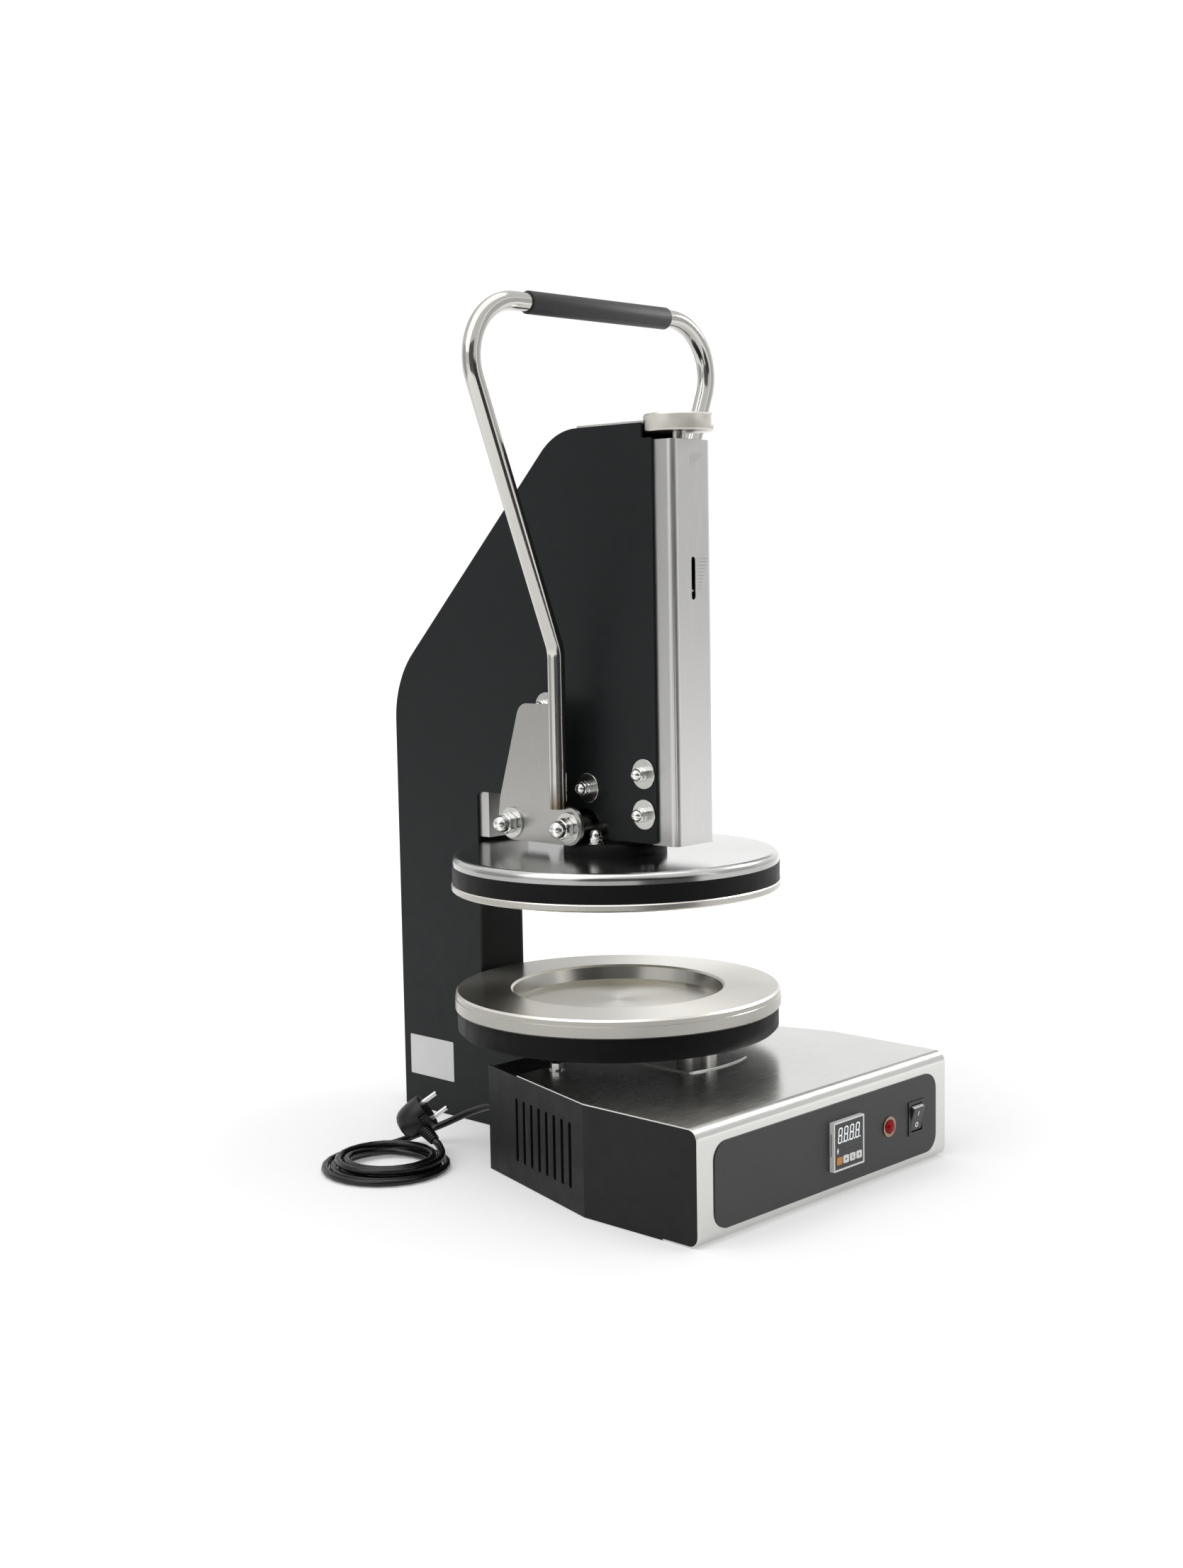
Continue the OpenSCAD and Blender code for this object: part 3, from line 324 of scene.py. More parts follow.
def round_edges(obj, width, segments=2):
    """Rounds the sharp edges of an object."""
    edge = obj.modifiers.new("edge", "BEVEL")
    edge.width = width * MM
    edge.segments = segments
    edge.limit_method = "ANGLE"
    edge.angle_limit = math.radians(SHARP_ANGLE)
    edge.harden_normals = True


def soften_edges():
    """Rounds the sharp edges of the solids a little, as paint and pressing do."""
    for width, names in SOFT_EDGES.items():
        for name in names.split():
            weld = nodes[name].modifiers.new("weld", "WELD")
            weld.merge_threshold = WELD_GAP * MM
            round_edges(nodes[name], width)


# Piece helpers

def piece(name, mesh, body, mat, smooth_angle=35):
    """Links a mesh as a piece that rides on a body."""
    for polygon in mesh.polygons:
        polygon.use_smooth = True
    mesh.set_sharp_from_angle(angle=math.radians(smooth_angle))
    obj = bpy.data.objects.new(name, mesh)
    bpy.context.scene.collection.objects.link(obj)
    mesh.materials.append(mat)
    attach(obj, body)
    return obj


def mesh_from(name, points, faces):
    """A mesh from its points and faces."""
    mesh = bpy.data.meshes.new(name)
    mesh.from_pydata(points, [], faces)
    mesh.validate()
    return mesh


def skin(name, loops):
    """Joins closed loops of equal length, one after the other, and caps both ends."""
    n = len(loops[0])
    points = [q for loop in loops for q in loop]
    faces = []
    for i in range(len(loops) - 1):
        for k in range(n):
            a, b = i * n + k, i * n + (k + 1) % n
            faces.append((a, b, b + n, a + n))
    faces.append(tuple(range(n - 1, -1, -1)))
    faces.append(tuple((len(loops) - 1) * n + k for k in range(n)))
    return mesh_from(name, points, faces)


def sweep(name, path, radius, sides, ref):
    """A round tube along a path that never runs along `ref`, closed at both ends."""
    loops = []
    for i, centre in enumerate(path):
        along = (path[min(i + 1, len(path) - 1)] - path[max(i - 1, 0)]).normalized()
        side = ref.cross(along).normalized()
        up = along.cross(side)
        turns = [math.tau * k / sides for k in range(sides)]
        loops.append([centre + radius * (side * math.cos(a) + up * math.sin(a)) for a in turns])
    return skin(name, loops)


def lathe(name, base, axis, rings, sides=48, side=None):
    """A body about an axis, in millimetres. A ring is (height, reach); reach may depend on the angle."""
    side = side or axis.cross(UP if abs(axis.z) < 0.9 else RIGHT).normalized()
    up = axis.cross(side)
    loops = []
    for height, reach in rings:
        loop = []
        for k in range(sides):
            a = math.tau * k / sides
            r = reach(a) if callable(reach) else reach
            loop.append((base + axis * height + r * (side * math.cos(a) + up * math.sin(a))) * MM)
        loops.append(loop)
    return skin(name, loops)


def slab(name, outline, at, right, up, thickness):
    """A thin slab on the point `at`; its outline is in millimetres along right and up."""
    out = right.cross(up)
    n = len(outline)
    points = [at + MM * (x * right + y * up) for x, y in outline]
    points += [q + out * thickness for q in points]
    faces = [tuple(range(n - 1, -1, -1)), tuple(range(n, 2 * n))]
    faces += [(i, (i + 1) % n, n + (i + 1) % n, n + i) for i in range(n)]
    return mesh_from(name, points, faces)


def join(name, meshes):
    """One mesh from several."""
    made = bmesh.new()
    for mesh in meshes:
        made.from_mesh(mesh)
        bpy.data.meshes.remove(mesh)
    result = bpy.data.meshes.new(name)
    made.to_mesh(result)
    made.free()
    return result


def circle(r, n):
    """Outline of a circle about the origin."""
    return [(r * math.cos(math.tau * i / n), r * math.sin(math.tau * i / n)) for i in range(n)]


def box(x0, z0, x1, z1):
    """Outline of a rectangle between two corners."""
    return [(x0, z0), (x1, z0), (x1, z1), (x0, z1)]


def rounded_box(w, h, r, n=6):
    """Outline of a rectangle about the origin with round corners."""
    outline = []
    for quarter, (sx, sy) in enumerate([(1, 1), (-1, 1), (-1, -1), (1, -1)]):
        for i in range(n + 1):
            a = math.radians(90 * quarter + 90 * i / n)
            outline.append((sx * (w / 2 - r) + r * math.cos(a), sy * (h / 2 - r) + r * math.sin(a)))
    return outline


def shifted(outline, dx, dy):
    """The outline moved by dx and dy."""
    return [(x + dx, y + dy) for x, y in outline]


# Handle

TUBE_D, TUBE_SIDES = 18, 40
TUBE_X, TUBE_Y = 65, 16.5
TUBE_LOW, BEND_Z = 362, 522
BOW_X, BOW_Z, BOW_R = 114, 806, 57
ELBOW_R = 40


def arc(cx, cz, r, a0, a1, n):
    """Points of an arc from the angle a0 to a1."""
    turns = [a0 + (a1 - a0) * i / n for i in range(n + 1)]
    return [(cx + r * math.cos(a), cz + r * math.sin(a)) for a in turns]


def add_handle():
    """The bowed tube, smooth, on the same middle line as its solid."""
    reach = (BOW_X - TUBE_X, BOW_Z - BEND_Z)
    splay = math.atan2(*reach) + math.asin(BOW_R / math.hypot(*reach))
    elbow_z = BEND_Z - ELBOW_R * math.tan(splay / 2)
    leg = [(TUBE_X, TUBE_LOW), (TUBE_X, TUBE_LOW + 1)]
    leg += arc(TUBE_X + ELBOW_R, elbow_z, ELBOW_R, math.pi, math.pi - splay, n=10)
    leg += arc(BOW_X, BOW_Z, BOW_R, -splay, math.pi / 2, n=36)
    left = [Vector((-x, TUBE_Y, z)) * MM for x, z in leg]
    right = [Vector((x, TUBE_Y, z)) * MM for x, z in reversed(leg)]
    mesh = sweep("handle_bow", left + right, TUBE_D / 2 * MM, TUBE_SIDES, BACK)
    tube = piece("handle_bow", mesh, "lever", polished_tube)
    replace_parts(tube, "handle_tube")


# Fasteners

OUTER = 32
STUDS = [(6.3, 381), (-71, 399.5), (-71, 359), (65, 462)]
STUD_WASHER_R, STUD_WASHER_T = 15, 1.5
STUD_NUT = {"flats": 13, "hex_h": 5, "height": 11.5, "lock_h": 4}

PIN_Z, PIVOT_Y, SHAFT_Y = 342, 92, 10
PIN_NUT_X, PIVOT_PLAY = 60.5, 0.3
PIN_NUT = {"flats": 19, "hex_h": 10, "height": 22}
SLEEVE_R, SLEEVE_LEN, SLEEVE_EDGE = 14, 21.7, 0.5
HEAD_IN, HEAD_FLATS, HEAD_H = 12, 24, 9

RAM_Z, FLANGE_NUT_R = 326, 43
FLANGE_NUT_TURNS = (-164, -90, -16)
FLANGE_WASHER_R, FLANGE_WASHER_T = 8.5, 1
FLANGE_NUT = {"flats": 13, "hex_h": 6, "height": 14}

WASHER_EDGE = 0.3
DOME_SHARE = 0.465


def hex_rings(flats, low, high):
    """A hexagon between two heights, with both ends turned down to a cone."""
    drop = 0.06 * flats
    steps = [(low, 0.48), (low + drop / 2, 0.53), (low + drop, 0.58),
             (high - drop, 0.58), (high - drop / 2, 0.53), (high, 0.48)]

    def turned_down(limit):
        sixth = math.pi / 3
        return lambda a: min(limit, flats / 2 / math.cos((a + sixth / 2) % sixth - sixth / 2))

    return [(h, turned_down(share * flats)) for h, share in steps]


def dome_rings(flats, low, high):
    """The round cap of a domed nut."""
    r = DOME_SHARE * flats
    rise = [math.radians(t) for t in range(0, 90, 12)]
    return [(low, r)] + [(high - r + r * math.sin(t), r * math.cos(t)) for t in rise]


def washer(base, axis, r, t):
    """A flat washer with broken edges."""
    rings = [(0, r - WASHER_EDGE), (WASHER_EDGE, r), (t - WASHER_EDGE, r), (t, r - WASHER_EDGE)]
    return lathe("washer", base, axis, rings)


def cap_nut(base, axis, flats, hex_h, height, lock_h=0):
    """A domed nut, on a lock nut of height lock_h where it has one."""
    rings = hex_rings(flats, 0, lock_h) if lock_h else []
    rings += hex_rings(flats, lock_h, lock_h + hex_h) + dome_rings(flats, lock_h + hex_h, lock_h + height)
    return lathe("nut", base, axis, rings)


def stud_fasteners():
    """Washers and domed nuts of the studs, on both sides of the column."""
    washers, nuts = [], []
    for side in SIDES:
        axis = side * RIGHT
        for y, z in STUDS:
            at = Vector((side * OUTER, y, z))
            washers.append(washer(at, axis, STUD_WASHER_R, STUD_WASHER_T))
            nuts.append(cap_nut(at + axis * STUD_WASHER_T, axis, **STUD_NUT))
    return washers, nuts


def pin_nut(side, y, play=0):
    """Domed nut at one end of the lever's shaft or of its fixed bolts."""
    return cap_nut(Vector((side * (PIN_NUT_X + play), y, PIN_Z)), side * RIGHT, **PIN_NUT)


def pivot_fasteners():
    """Domed nuts, spacer sleeves and inner heads of the lever's fixed bolts."""
    sleeve = [(0, SLEEVE_R), (SLEEVE_LEN - SLEEVE_EDGE, SLEEVE_R), (SLEEVE_LEN, SLEEVE_R - SLEEVE_EDGE)]
    head = hex_rings(HEAD_FLATS, 0, HEAD_H)
    parts = []
    for side in SIDES:
        axis = side * RIGHT
        parts.append(pin_nut(side, PIVOT_Y, PIVOT_PLAY))
        parts.append(lathe("sleeve", Vector((side * OUTER, PIVOT_Y, PIN_Z)), axis, sleeve))
        parts.append(lathe("head", Vector((side * (OUTER - HEAD_IN), PIVOT_Y, PIN_Z)), axis, head))
    return parts


def flange_fasteners():
    """Washers and domed nuts on the ram's flange."""
    parts = []
    for turn in FLANGE_NUT_TURNS:
        a = math.radians(turn)
        at = Vector((FLANGE_NUT_R * math.cos(a), FLANGE_NUT_R * math.sin(a), RAM_Z))
        parts.append(washer(at, UP, FLANGE_WASHER_R, FLANGE_WASHER_T))
        parts.append(cap_nut(at + UP * FLANGE_WASHER_T, UP, **FLANGE_NUT))
    return parts


def add_hardware(name, parts, body, node):
    """One piece of bright hardware in place of a node."""
    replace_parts(piece(name, join(name, parts), body, zinc), node)


def add_fasteners():
    """All nuts, washers and bolts that the scene draws finer than the solids."""
    washers, nuts = stud_fasteners()
    piece("guide_washers", join("guide_washers", washers), "frame", washer_zinc)
    add_hardware("guide_caps", nuts, "frame", "guide_nuts")
    add_hardware("pivot_caps", pivot_fasteners(), "frame", "pivot_bolts")
    add_hardware("shaft_caps", [pin_nut(side, SHAFT_Y) for side in SIDES], "lever", "shaft_nuts")
    add_hardware("flange_caps", flange_fasteners(), "ram", "flange_nuts")


# Adjuster knob

KNOB_R, KNOB_Z, KNOB_H = 34.5, 735, 17
KNURLS, KNURL_DEPTH, KNURL_EDGE = 120, 0.45, 1.6
KNURL_PITCH = math.tau * KNOB_R / KNURLS
# Mesh steps in one knurl
KNURL_STEPS = 4
CHAMFER_H, CHAMFER_IN = 1.2, 1.4
# Shallow dish in the top and the hole in its middle
DISH_R, DISH_SLOPE, DISH_DEEP = 20, 0.6, 0.5
HOLE_R, HOLE_SLOPE, HOLE_DEEP = 8, 1, 1.2


def wave(t):
    """Triangle wave that falls from 1 to 0 and rises again."""
    return abs(2 * (t % 1) - 1)


def knurl(h):
    """Reach of the knurled face at height h, by angle."""
    def reach(a):
        u, v = a / math.tau * KNURLS, h / KNURL_PITCH
        return KNOB_R - KNURL_DEPTH * (1 - min(wave(u + v), wave(u - v)))

    return reach


def add_knob():
    """Knob with a diamond knurl between two plain chamfers."""
    low, high = KNURL_EDGE, KNOB_H - KNURL_EDGE
    rows = round((high - low) / KNURL_PITCH * KNURL_STEPS)
    heights = [low + (high - low) * j / rows for j in range(rows + 1)]
    plain, tip = KNOB_R - KNURL_DEPTH, KNOB_R - CHAMFER_IN
    rings = [(0, tip), (CHAMFER_H, plain)]
    rings += [(h, knurl(h)) for h in heights]
    rings += [(KNOB_H - CHAMFER_H, plain), (KNOB_H, tip), (KNOB_H, DISH_R)]
    rings += [(KNOB_H - DISH_DEEP, DISH_R - DISH_SLOPE), (KNOB_H - DISH_DEEP, HOLE_R)]
    rings += [(KNOB_H - HOLE_DEEP, HOLE_R - HOLE_SLOPE)]
    mesh = lathe("knurled_knob", Vector((0, KNOB_Y, KNOB_Z)), UP, rings, sides=KNURLS * KNURL_STEPS)
    knob = piece("knurled_knob", mesh, "adjuster", knob_metal, smooth_angle=20)
    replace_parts(knob, "adjust_knob")


# Gauge marks on the front cover

COVER_FRONT = Vector((0, -111.6, 0)) * MM
GAUGE_X, GAUGE_TOP = 6, 611
GAUGE_LINES, GAUGE_STEP, GAUGE_LINE_H = 10, 3.3, 0.45
# Length of the top line, and how much shorter each line is than the one above
GAUGE_LONG, GAUGE_LESS = 14.5, 1.1
ARROW_X, ARROW_TOP, ARROW_ROWS = -3, 712, 8
DOT_R, DOT_SIDES, DOT_STEP, DOT_ROW = 0.42, 8, 2.5, 1.6


def on_cover(name, outline):
    """A mark engraved in the front cover."""
    return slab(name, outline, COVER_FRONT, RIGHT, UP, THIN)


def add_gauge_lines():
    """Engraved lines beside the slot."""
    lines = []
    for i in range(GAUGE_LINES):
        z = GAUGE_TOP - GAUGE_STEP * i
        length = GAUGE_LONG - GAUGE_LESS * i
        lines.append(on_cover("line", box(GAUGE_X, z, GAUGE_X + length, z + GAUGE_LINE_H)))
    piece("gauge_lines", join("gauge_lines", lines), "frame", etched)


def add_gauge_arrow():
    """The dotted arrow near the top of the cover."""
    dots = []
    for row in range(ARROW_ROWS):
        for k in range(ARROW_ROWS - row):
            dot = shifted(circle(DOT_R, DOT_SIDES), ARROW_X + DOT_STEP * k, ARROW_TOP - DOT_ROW * row)
            dots.append(on_cover("dot", dot))
    piece("gauge_arrow", join("gauge_arrow", dots), "frame", etched)


# Temperature controller

CTL_X, CTL_Z, CTL_HALF = 21.5, 51.8, 24
FACE_Y = -281.0
DISPLAY_AT = Vector((CTL_X, FACE_Y, CTL_Z)) * MM

DIGITS, DIGIT_PITCH = 4, 9.1
DIGIT_X, DIGIT_Z = -13.6, 10.2
DIGIT_HALF_W, DIGIT_HALF_H = 2.6, 7.2
DIGIT_SCALE, DIGIT_LEAN = 0.96, 0.1
BAR_HALF_T = 0.72
POINT_R, POINT_SIDES, POINT_GAP, POINT_LIFT = 0.85, 12, 1.4, 0.3
# Place of each bar in half widths and half heights, and whether it lies across
SEGMENTS = [(0, 1, True), (0, 0, True), (0, -1, True),
            (-1, 0.5, False), (1, 0.5, False), (-1, -0.5, False), (1, -0.5, False)]

MARK_X, MARK_Z, MARK_STEP = -17.5, -4.4, 2.2
MARK_HALF_W, MARK_HALF_H = 1.1, 0.9
# Bars with round ends: width, height, corner
MARK_BAR, UNLIT_BAR, CLIP_BAR = (2.6, 1.4, 0.6), (3.0, 1.5, 0.5), (0.9, 22, 0.4)
BAR_STEPS = 3
UNLIT_ROWS, UNLIT_COLUMNS = 2, 3
UNLIT_X, UNLIT_Z = -4, -1.8
UNLIT_STEP_X, UNLIT_STEP_Z = 8.2, 5.2
CLIP_LIFT, CLIP_BACK, CLIP_T = 2, 3, 0.2


def on_display(name, outline):
    """A mark on the controller's face."""
    return slab(name, outline, DISPLAY_AT, RIGHT, UP, THIN)


def segment(x, z, across, length):
    """A bar with pointed ends."""
    h, t = length / 2, BAR_HALF_T
    bar = [(-h, 0), (-h + t, -t), (h - t, -t), (h, 0), (h - t, t), (-h + t, t)]
    return [(x + a, z + b) if across else (x - b, z + a) for a, b in bar]


def add_digits():
    """Four seven-segment digits with their points, as on a lamp test."""
    bars = []
    for digit in range(DIGITS):
        x0 = DIGIT_X + DIGIT_PITCH * digit
        for dx, dz, across in SEGMENTS:
            length = 2 * DIGIT_HALF_W if across else DIGIT_HALF_H
            bar = segment(dx * DIGIT_HALF_W, dz * DIGIT_HALF_H, across, length)
            bar = [(x0 + DIGIT_SCALE * x + DIGIT_LEAN * z, DIGIT_Z + DIGIT_SCALE * z) for x, z in bar]
            bars.append(on_display("bar", bar))
        point_x, point_z = x0 + DIGIT_HALF_W + POINT_GAP, DIGIT_Z - DIGIT_HALF_H + POINT_LIFT
        bars.append(on_display("point", shifted(circle(POINT_R, POINT_SIDES), point_x, point_z)))
    piece("display_digits", join("display_digits", bars), "frame", glow_white)


def add_display_marks():
    """Lit arrows up and down with a bar between them."""
    marks = []
    for flip in (1, -1):
        low, tip = -MARK_HALF_H * flip, MARK_HALF_H * flip
        arrow = [(-MARK_HALF_W, low), (MARK_HALF_W, low), (0, tip)]
        marks.append(on_display("mark", shifted(arrow[::flip], MARK_X, MARK_Z + MARK_STEP * flip)))
    marks.append(on_display("mark", shifted(rounded_box(*MARK_BAR, BAR_STEPS), MARK_X, MARK_Z)))
    piece("display_marks", join("display_marks", marks), "frame", glow_white)


def add_unlit_marks():
    """Bars of the display that stay dark."""
    unlit = []
    for row in range(UNLIT_ROWS):
        for k in range(UNLIT_COLUMNS):
            x, z = UNLIT_X + UNLIT_STEP_X * k, UNLIT_Z - UNLIT_STEP_Z * row
            unlit.append(on_display("bar", shifted(rounded_box(*UNLIT_BAR, BAR_STEPS), x, z)))
    piece("unlit_marks", join("unlit_marks", unlit), "frame", unlit_grey)


def add_clip_slot_shade():
    """A thin grey mark in the side of the case, painted in as the shade inside the clip's slot."""
    outline = shifted(rounded_box(*CLIP_BAR, BAR_STEPS), 0, CLIP_LIFT)
    side = Vector((CTL_X - CTL_HALF, FACE_Y + CLIP_BACK, CTL_Z)) * MM
    mesh = slab("clip_slot_shade", outline, side, -BACK, UP, CLIP_T * MM)
    piece("clip_slot_shade", mesh, "frame", mark_grey)


# Keys

KEYS = ("key_mode", "key_shift", "key_down", "key_up")
KEY_Y, KEY_Z, KEY_PITCH = -281.7, 37.7, 10.3
KEY_W, KEY_H, KEY_DEEP = 8.6, 7.6, 3
KEY_CORNER, KEY_EDGE = 1.3, 0.25
KEY_ARROW = [(-0.5, -1.6), (0.5, -1.6), (0.5, 0.2), (1.6, 0.2), (0, 1.9), (-1.6, 0.2), (-0.5, 0.2)]
KEY_ARROW_TURNS = {"key_shift": 90, "key_down": 180, "key_up": 0}


def key_front(key):
    """Middle of a key's front."""
    steps = KEYS.index(key) - (len(KEYS) - 1) / 2
    return Vector((CTL_X + KEY_PITCH * steps, KEY_Y, KEY_Z))


def add_keys():
    """Four keys with round corners."""
    for key in KEYS:
        at = (key_front(key) + BACK * KEY_DEEP) * MM
        mesh = slab(key + "_cap", rounded_box(KEY_W, KEY_H, KEY_CORNER), at, RIGHT, UP, KEY_DEEP * MM)
        mat = orange_key if key == "key_mode" else white_key
        cap = piece(key + "_cap", mesh, key, mat)
        round_edges(cap, KEY_EDGE)
        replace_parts(cap, key)


def add_key_marks():
    """Plain arrows on the white keys."""
    for key, turn in KEY_ARROW_TURNS.items():
        c, s = math.cos(math.radians(turn)), math.sin(math.radians(turn))
        outline = [(c * x - s * z, s * x + c * z) for x, z in KEY_ARROW]
        mesh = slab(key + "_mark", outline, key_front(key) * MM, RIGHT, UP, THIN)
        piece(key + "_mark", mesh, key, mark_grey)


# Rocker switch

SWITCH_AT = Vector((138.8, -271.7, 51.8))
ROCKER_W, ROCKER_R, ROCKER_EDGE = 18.5, 13.9, 0.7
ROCKER_MID, ROCKER_LIP = -6.6, (-7.5, 11.7)
ROCKER_TILT = Matrix.Rotation(math.radians(12), 3, "X")
# Angle at which the round ends of the rocker stop, inside the switch
ROCKER_TAIL, ROCKER_STEPS = math.radians(78), 8
# Place of the marks between the ridge and the lip
MARK_SHARE = 0.52
ON_HALF_W, ON_HALF_H = 0.4, 2.4
OFF_IN, OFF_OUT, OFF_STEPS = 1.7, 2.5, 24


def add_rocker():
    """Rocker with a shallow V front and round ends that turn clear of the frame."""
    lip = math.atan2(ROCKER_LIP[1], ROCKER_LIP[0])
    end = [ROCKER_TAIL + (lip - ROCKER_TAIL) * i / ROCKER_STEPS for i in range(ROCKER_STEPS + 1)]
    rim = [(ROCKER_R * math.cos(a), ROCKER_R * math.sin(a)) for a in end]
    outline = rim + [(ROCKER_MID, 0)] + [(y, -z) for y, z in reversed(rim)]
    at = (SWITCH_AT - RIGHT * ROCKER_W / 2) * MM
    mesh = slab("rocker_cap", outline, at, ROCKER_TILT @ BACK, ROCKER_TILT @ UP, ROCKER_W * MM)
    cap = piece("rocker_cap", mesh, "rocker", rocker_plastic, smooth_angle=30)
    round_edges(cap, ROCKER_EDGE, segments=3)
    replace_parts(cap, "switch_rocker")


def rocker_slope(sign):
    """Place of the mark on the upper or lower slope of the rocker, and the way up the slope."""
    ridge = Vector((0, ROCKER_MID, 0))
    tip = Vector((0, ROCKER_LIP[0], sign * ROCKER_LIP[1]))
    at = (SWITCH_AT + ROCKER_TILT @ ridge.lerp(tip, MARK_SHARE)) * MM
    return at, ROCKER_TILT @ ((tip - ridge) * sign).normalized()


def ring_mesh(name, at, up):
    """A flat ring made of short slabs."""
    turns = [math.tau * i / OFF_STEPS for i in range(OFF_STEPS)]
    parts = []
    for a, b in zip(turns, turns[1:] + turns[:1]):
        corners = ((OFF_IN, a), (OFF_OUT, a), (OFF_OUT, b), (OFF_IN, b))
        quad = [(r * math.cos(t), r * math.sin(t)) for r, t in corners]
        parts.append(slab("part", quad, at, RIGHT, up, THIN))
    return join(name, parts)


def add_switch_marks():
    """I and O on the two slopes of the rocker."""
    # The I and O are print, yet their material glows: a painted glow.
    at, up = rocker_slope(1)
    bar = slab("rocker_on", box(-ON_HALF_W, -ON_HALF_H, ON_HALF_W, ON_HALF_H), at, RIGHT, up, THIN)
    piece("rocker_on", bar, "rocker", glow_white)
    at, up = rocker_slope(-1)
    piece("rocker_off", ring_mesh("rocker_off", at, up), "rocker", glow_white)


# Pilot lamp

LAMP_AT = Vector((93.2, -272.6, 51.8))
LENS_R, LENS_BALL, LENS_BASE = 7.1, 9.0, 4.2
LENS_SIDES = 10
# Height of the lens's tip as a share of its ball, and places of the facet rings from rim to tip
LENS_TIP = 0.985
LENS_BANDS = (1, 0.72, 0.4)


def add_lamp():
    """Red lens cut in facets."""
    bands = [math.asin(LENS_R / LENS_BALL) * t for t in LENS_BANDS]
    rings = [(LENS_R, LENS_BASE)] + [(LENS_BALL * math.sin(b), LENS_BALL * math.cos(b)) for b in bands]
    points, faces = [], []
    for j, (r, d) in enumerate(rings):
        for k in range(LENS_SIDES):
            a = math.tau * (k + 0.5 * (j % 2)) / LENS_SIDES
            points.append((LAMP_AT + Vector((r * math.cos(a), -d, r * math.sin(a)))) * MM)
    points.append((LAMP_AT + Vector((0, -LENS_BALL * LENS_TIP, 0))) * MM)
    for j in range(len(rings) - 1):
        for k in range(LENS_SIDES):
            a, b = j * LENS_SIDES + k, j * LENS_SIDES + (k + 1) % LENS_SIDES
            c, d = a + LENS_SIDES, b + LENS_SIDES
            faces += [(a, b, c), (b, d, c)] if j % 2 == 0 else [(a, b, d), (a, d, c)]
    top = (len(rings) - 1) * LENS_SIDES
    faces += [(top + k, top + (k + 1) % LENS_SIDES, len(points) - 1) for k in range(LENS_SIDES)]
    mesh = mesh_from("lamp_facets", points, faces)
    lens = piece("lamp_facets", mesh, "frame", lamp_red, smooth_angle=5)
    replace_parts(lens, "lamp_lens")


# Label place

PLATE_AT = Vector((-OUTER, 258.5, 61)) * MM
PLATE_W, PLATE_H, PLATE_CORNER, PLATE_T = 72, 45, 1.5, 0.2


def add_label():
    """Blank plate in the place of the rating label."""
    outline = rounded_box(PLATE_W, PLATE_H, PLATE_CORNER)
    plate = slab("blank_plate", outline, PLATE_AT, -BACK, UP, PLATE_T * MM)
    piece("blank_plate", plate, "frame", label_film)


# Cord

CORD_D = 7.4
GLAND_END = Vector((-95, 68, 48))
COIL_CENTRE = Vector((-211, 126))
COIL_R = 66
COIL_PITCH = 8.6
COIL_IN = 3
COIL_TURNS = 4.64
COIL_START = 70
COIL_STEPS = 24
# Gaps under the coil and between its two layers
FLOOR_GAP, LAYER_GAP = 0.2, 0.8
RELIEF_END = Vector((-163.5, 108, 22.5))
RELIEF_LEN = 34
RELIEF_DIR = Vector((0, math.cos(math.radians(30)), math.sin(math.radians(30))))
# Stretch that only steers a curve at its ends: a length, and a share of a turn of the coil
STEER, STEER_TURN = 20, 0.06
CURVE_STEPS = 4


def spline(q, n):
    """Smooth curve through given points, the first and last of which only steer it."""
    line = []
    for a, b, c, d in zip(q, q[1:], q[2:], q[3:]):
        for j in range(n):
            s = j / n
            bend = 2 * a - 5 * b + 4 * c - d + s * (3 * b - a - 3 * c + d)
            line.append(b + 0.5 * s * (c - a + s * bend))
    return line + [q[-2]]


def coil_at(t):
    """Turns spiral in on the lower layer, climb, and spiral out on the upper one."""
    a = math.radians(COIL_START + 360 * t)
    r = COIL_R - COIL_PITCH * (t if t < COIL_IN else 2 * COIL_IN - t)
    s = max(0.0, min(1.0, 2 * (t - COIL_IN) + 0.5))
    z = CORD_D / 2 + FLOOR_GAP + (CORD_D + LAYER_GAP) * s * s * (3 - 2 * s)
    return Vector((COIL_CENTRE.x + r * math.cos(a), COIL_CENTRE.y + r * math.sin(a), z))


def cord_line():
    """The cord's middle line from the gland to the plug, in millimetres."""
    coil = [coil_at(i / COIL_STEPS) for i in range(int(COIL_TURNS * COIL_STEPS) + 1)]
    back = (coil[0] - coil[1]).normalized()
    start = coil[0] + back * CORD_D
    lead = spline([
        GLAND_END - BACK * STEER, GLAND_END, GLAND_END + BACK * CORD_D,
        Vector((-94, 100, 45)), Vector((-97, 128, 34)), Vector((-109, 154, 20)), Vector((-130, 172, 10)),
        Vector((-154, 179, 5.2)), start + back * CORD_D, start, start - back * STEER], CURVE_STEPS)
    rise = spline([
        coil_at(COIL_TURNS - STEER_TURN), coil_at(COIL_TURNS), Vector((-170.5, 89, 14.5)),
        RELIEF_END - RELIEF_DIR * CORD_D, RELIEF_END, RELIEF_END + RELIEF_DIR * STEER], CURVE_STEPS)
    return lead + coil + rise


def add_cord():
    """The mains cord as one curve, with its plug."""
    line = [p * MM for p in cord_line()]
    curve = bpy.data.curves.new("mains_cord", "CURVE")
    curve.dimensions = "3D"
    curve.bevel_depth = CORD_D / 2 * MM
    curve.bevel_resolution = 6
    curve.use_fill_caps = True
    run = curve.splines.new("POLY")
    run.points.add(len(line) - 1)
    run.use_smooth = True
    for point, p in zip(run.points, line):
        point.co = (*p, 1)
    curve.materials.append(cord_jacket)
    cord = bpy.data.objects.new("mains_cord", curve)
    bpy.context.scene.collection.objects.link(cord)
    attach(cord, "frame")
    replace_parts(cord, "cord_lead", "cord_coil")
    add_plug()


# Plug

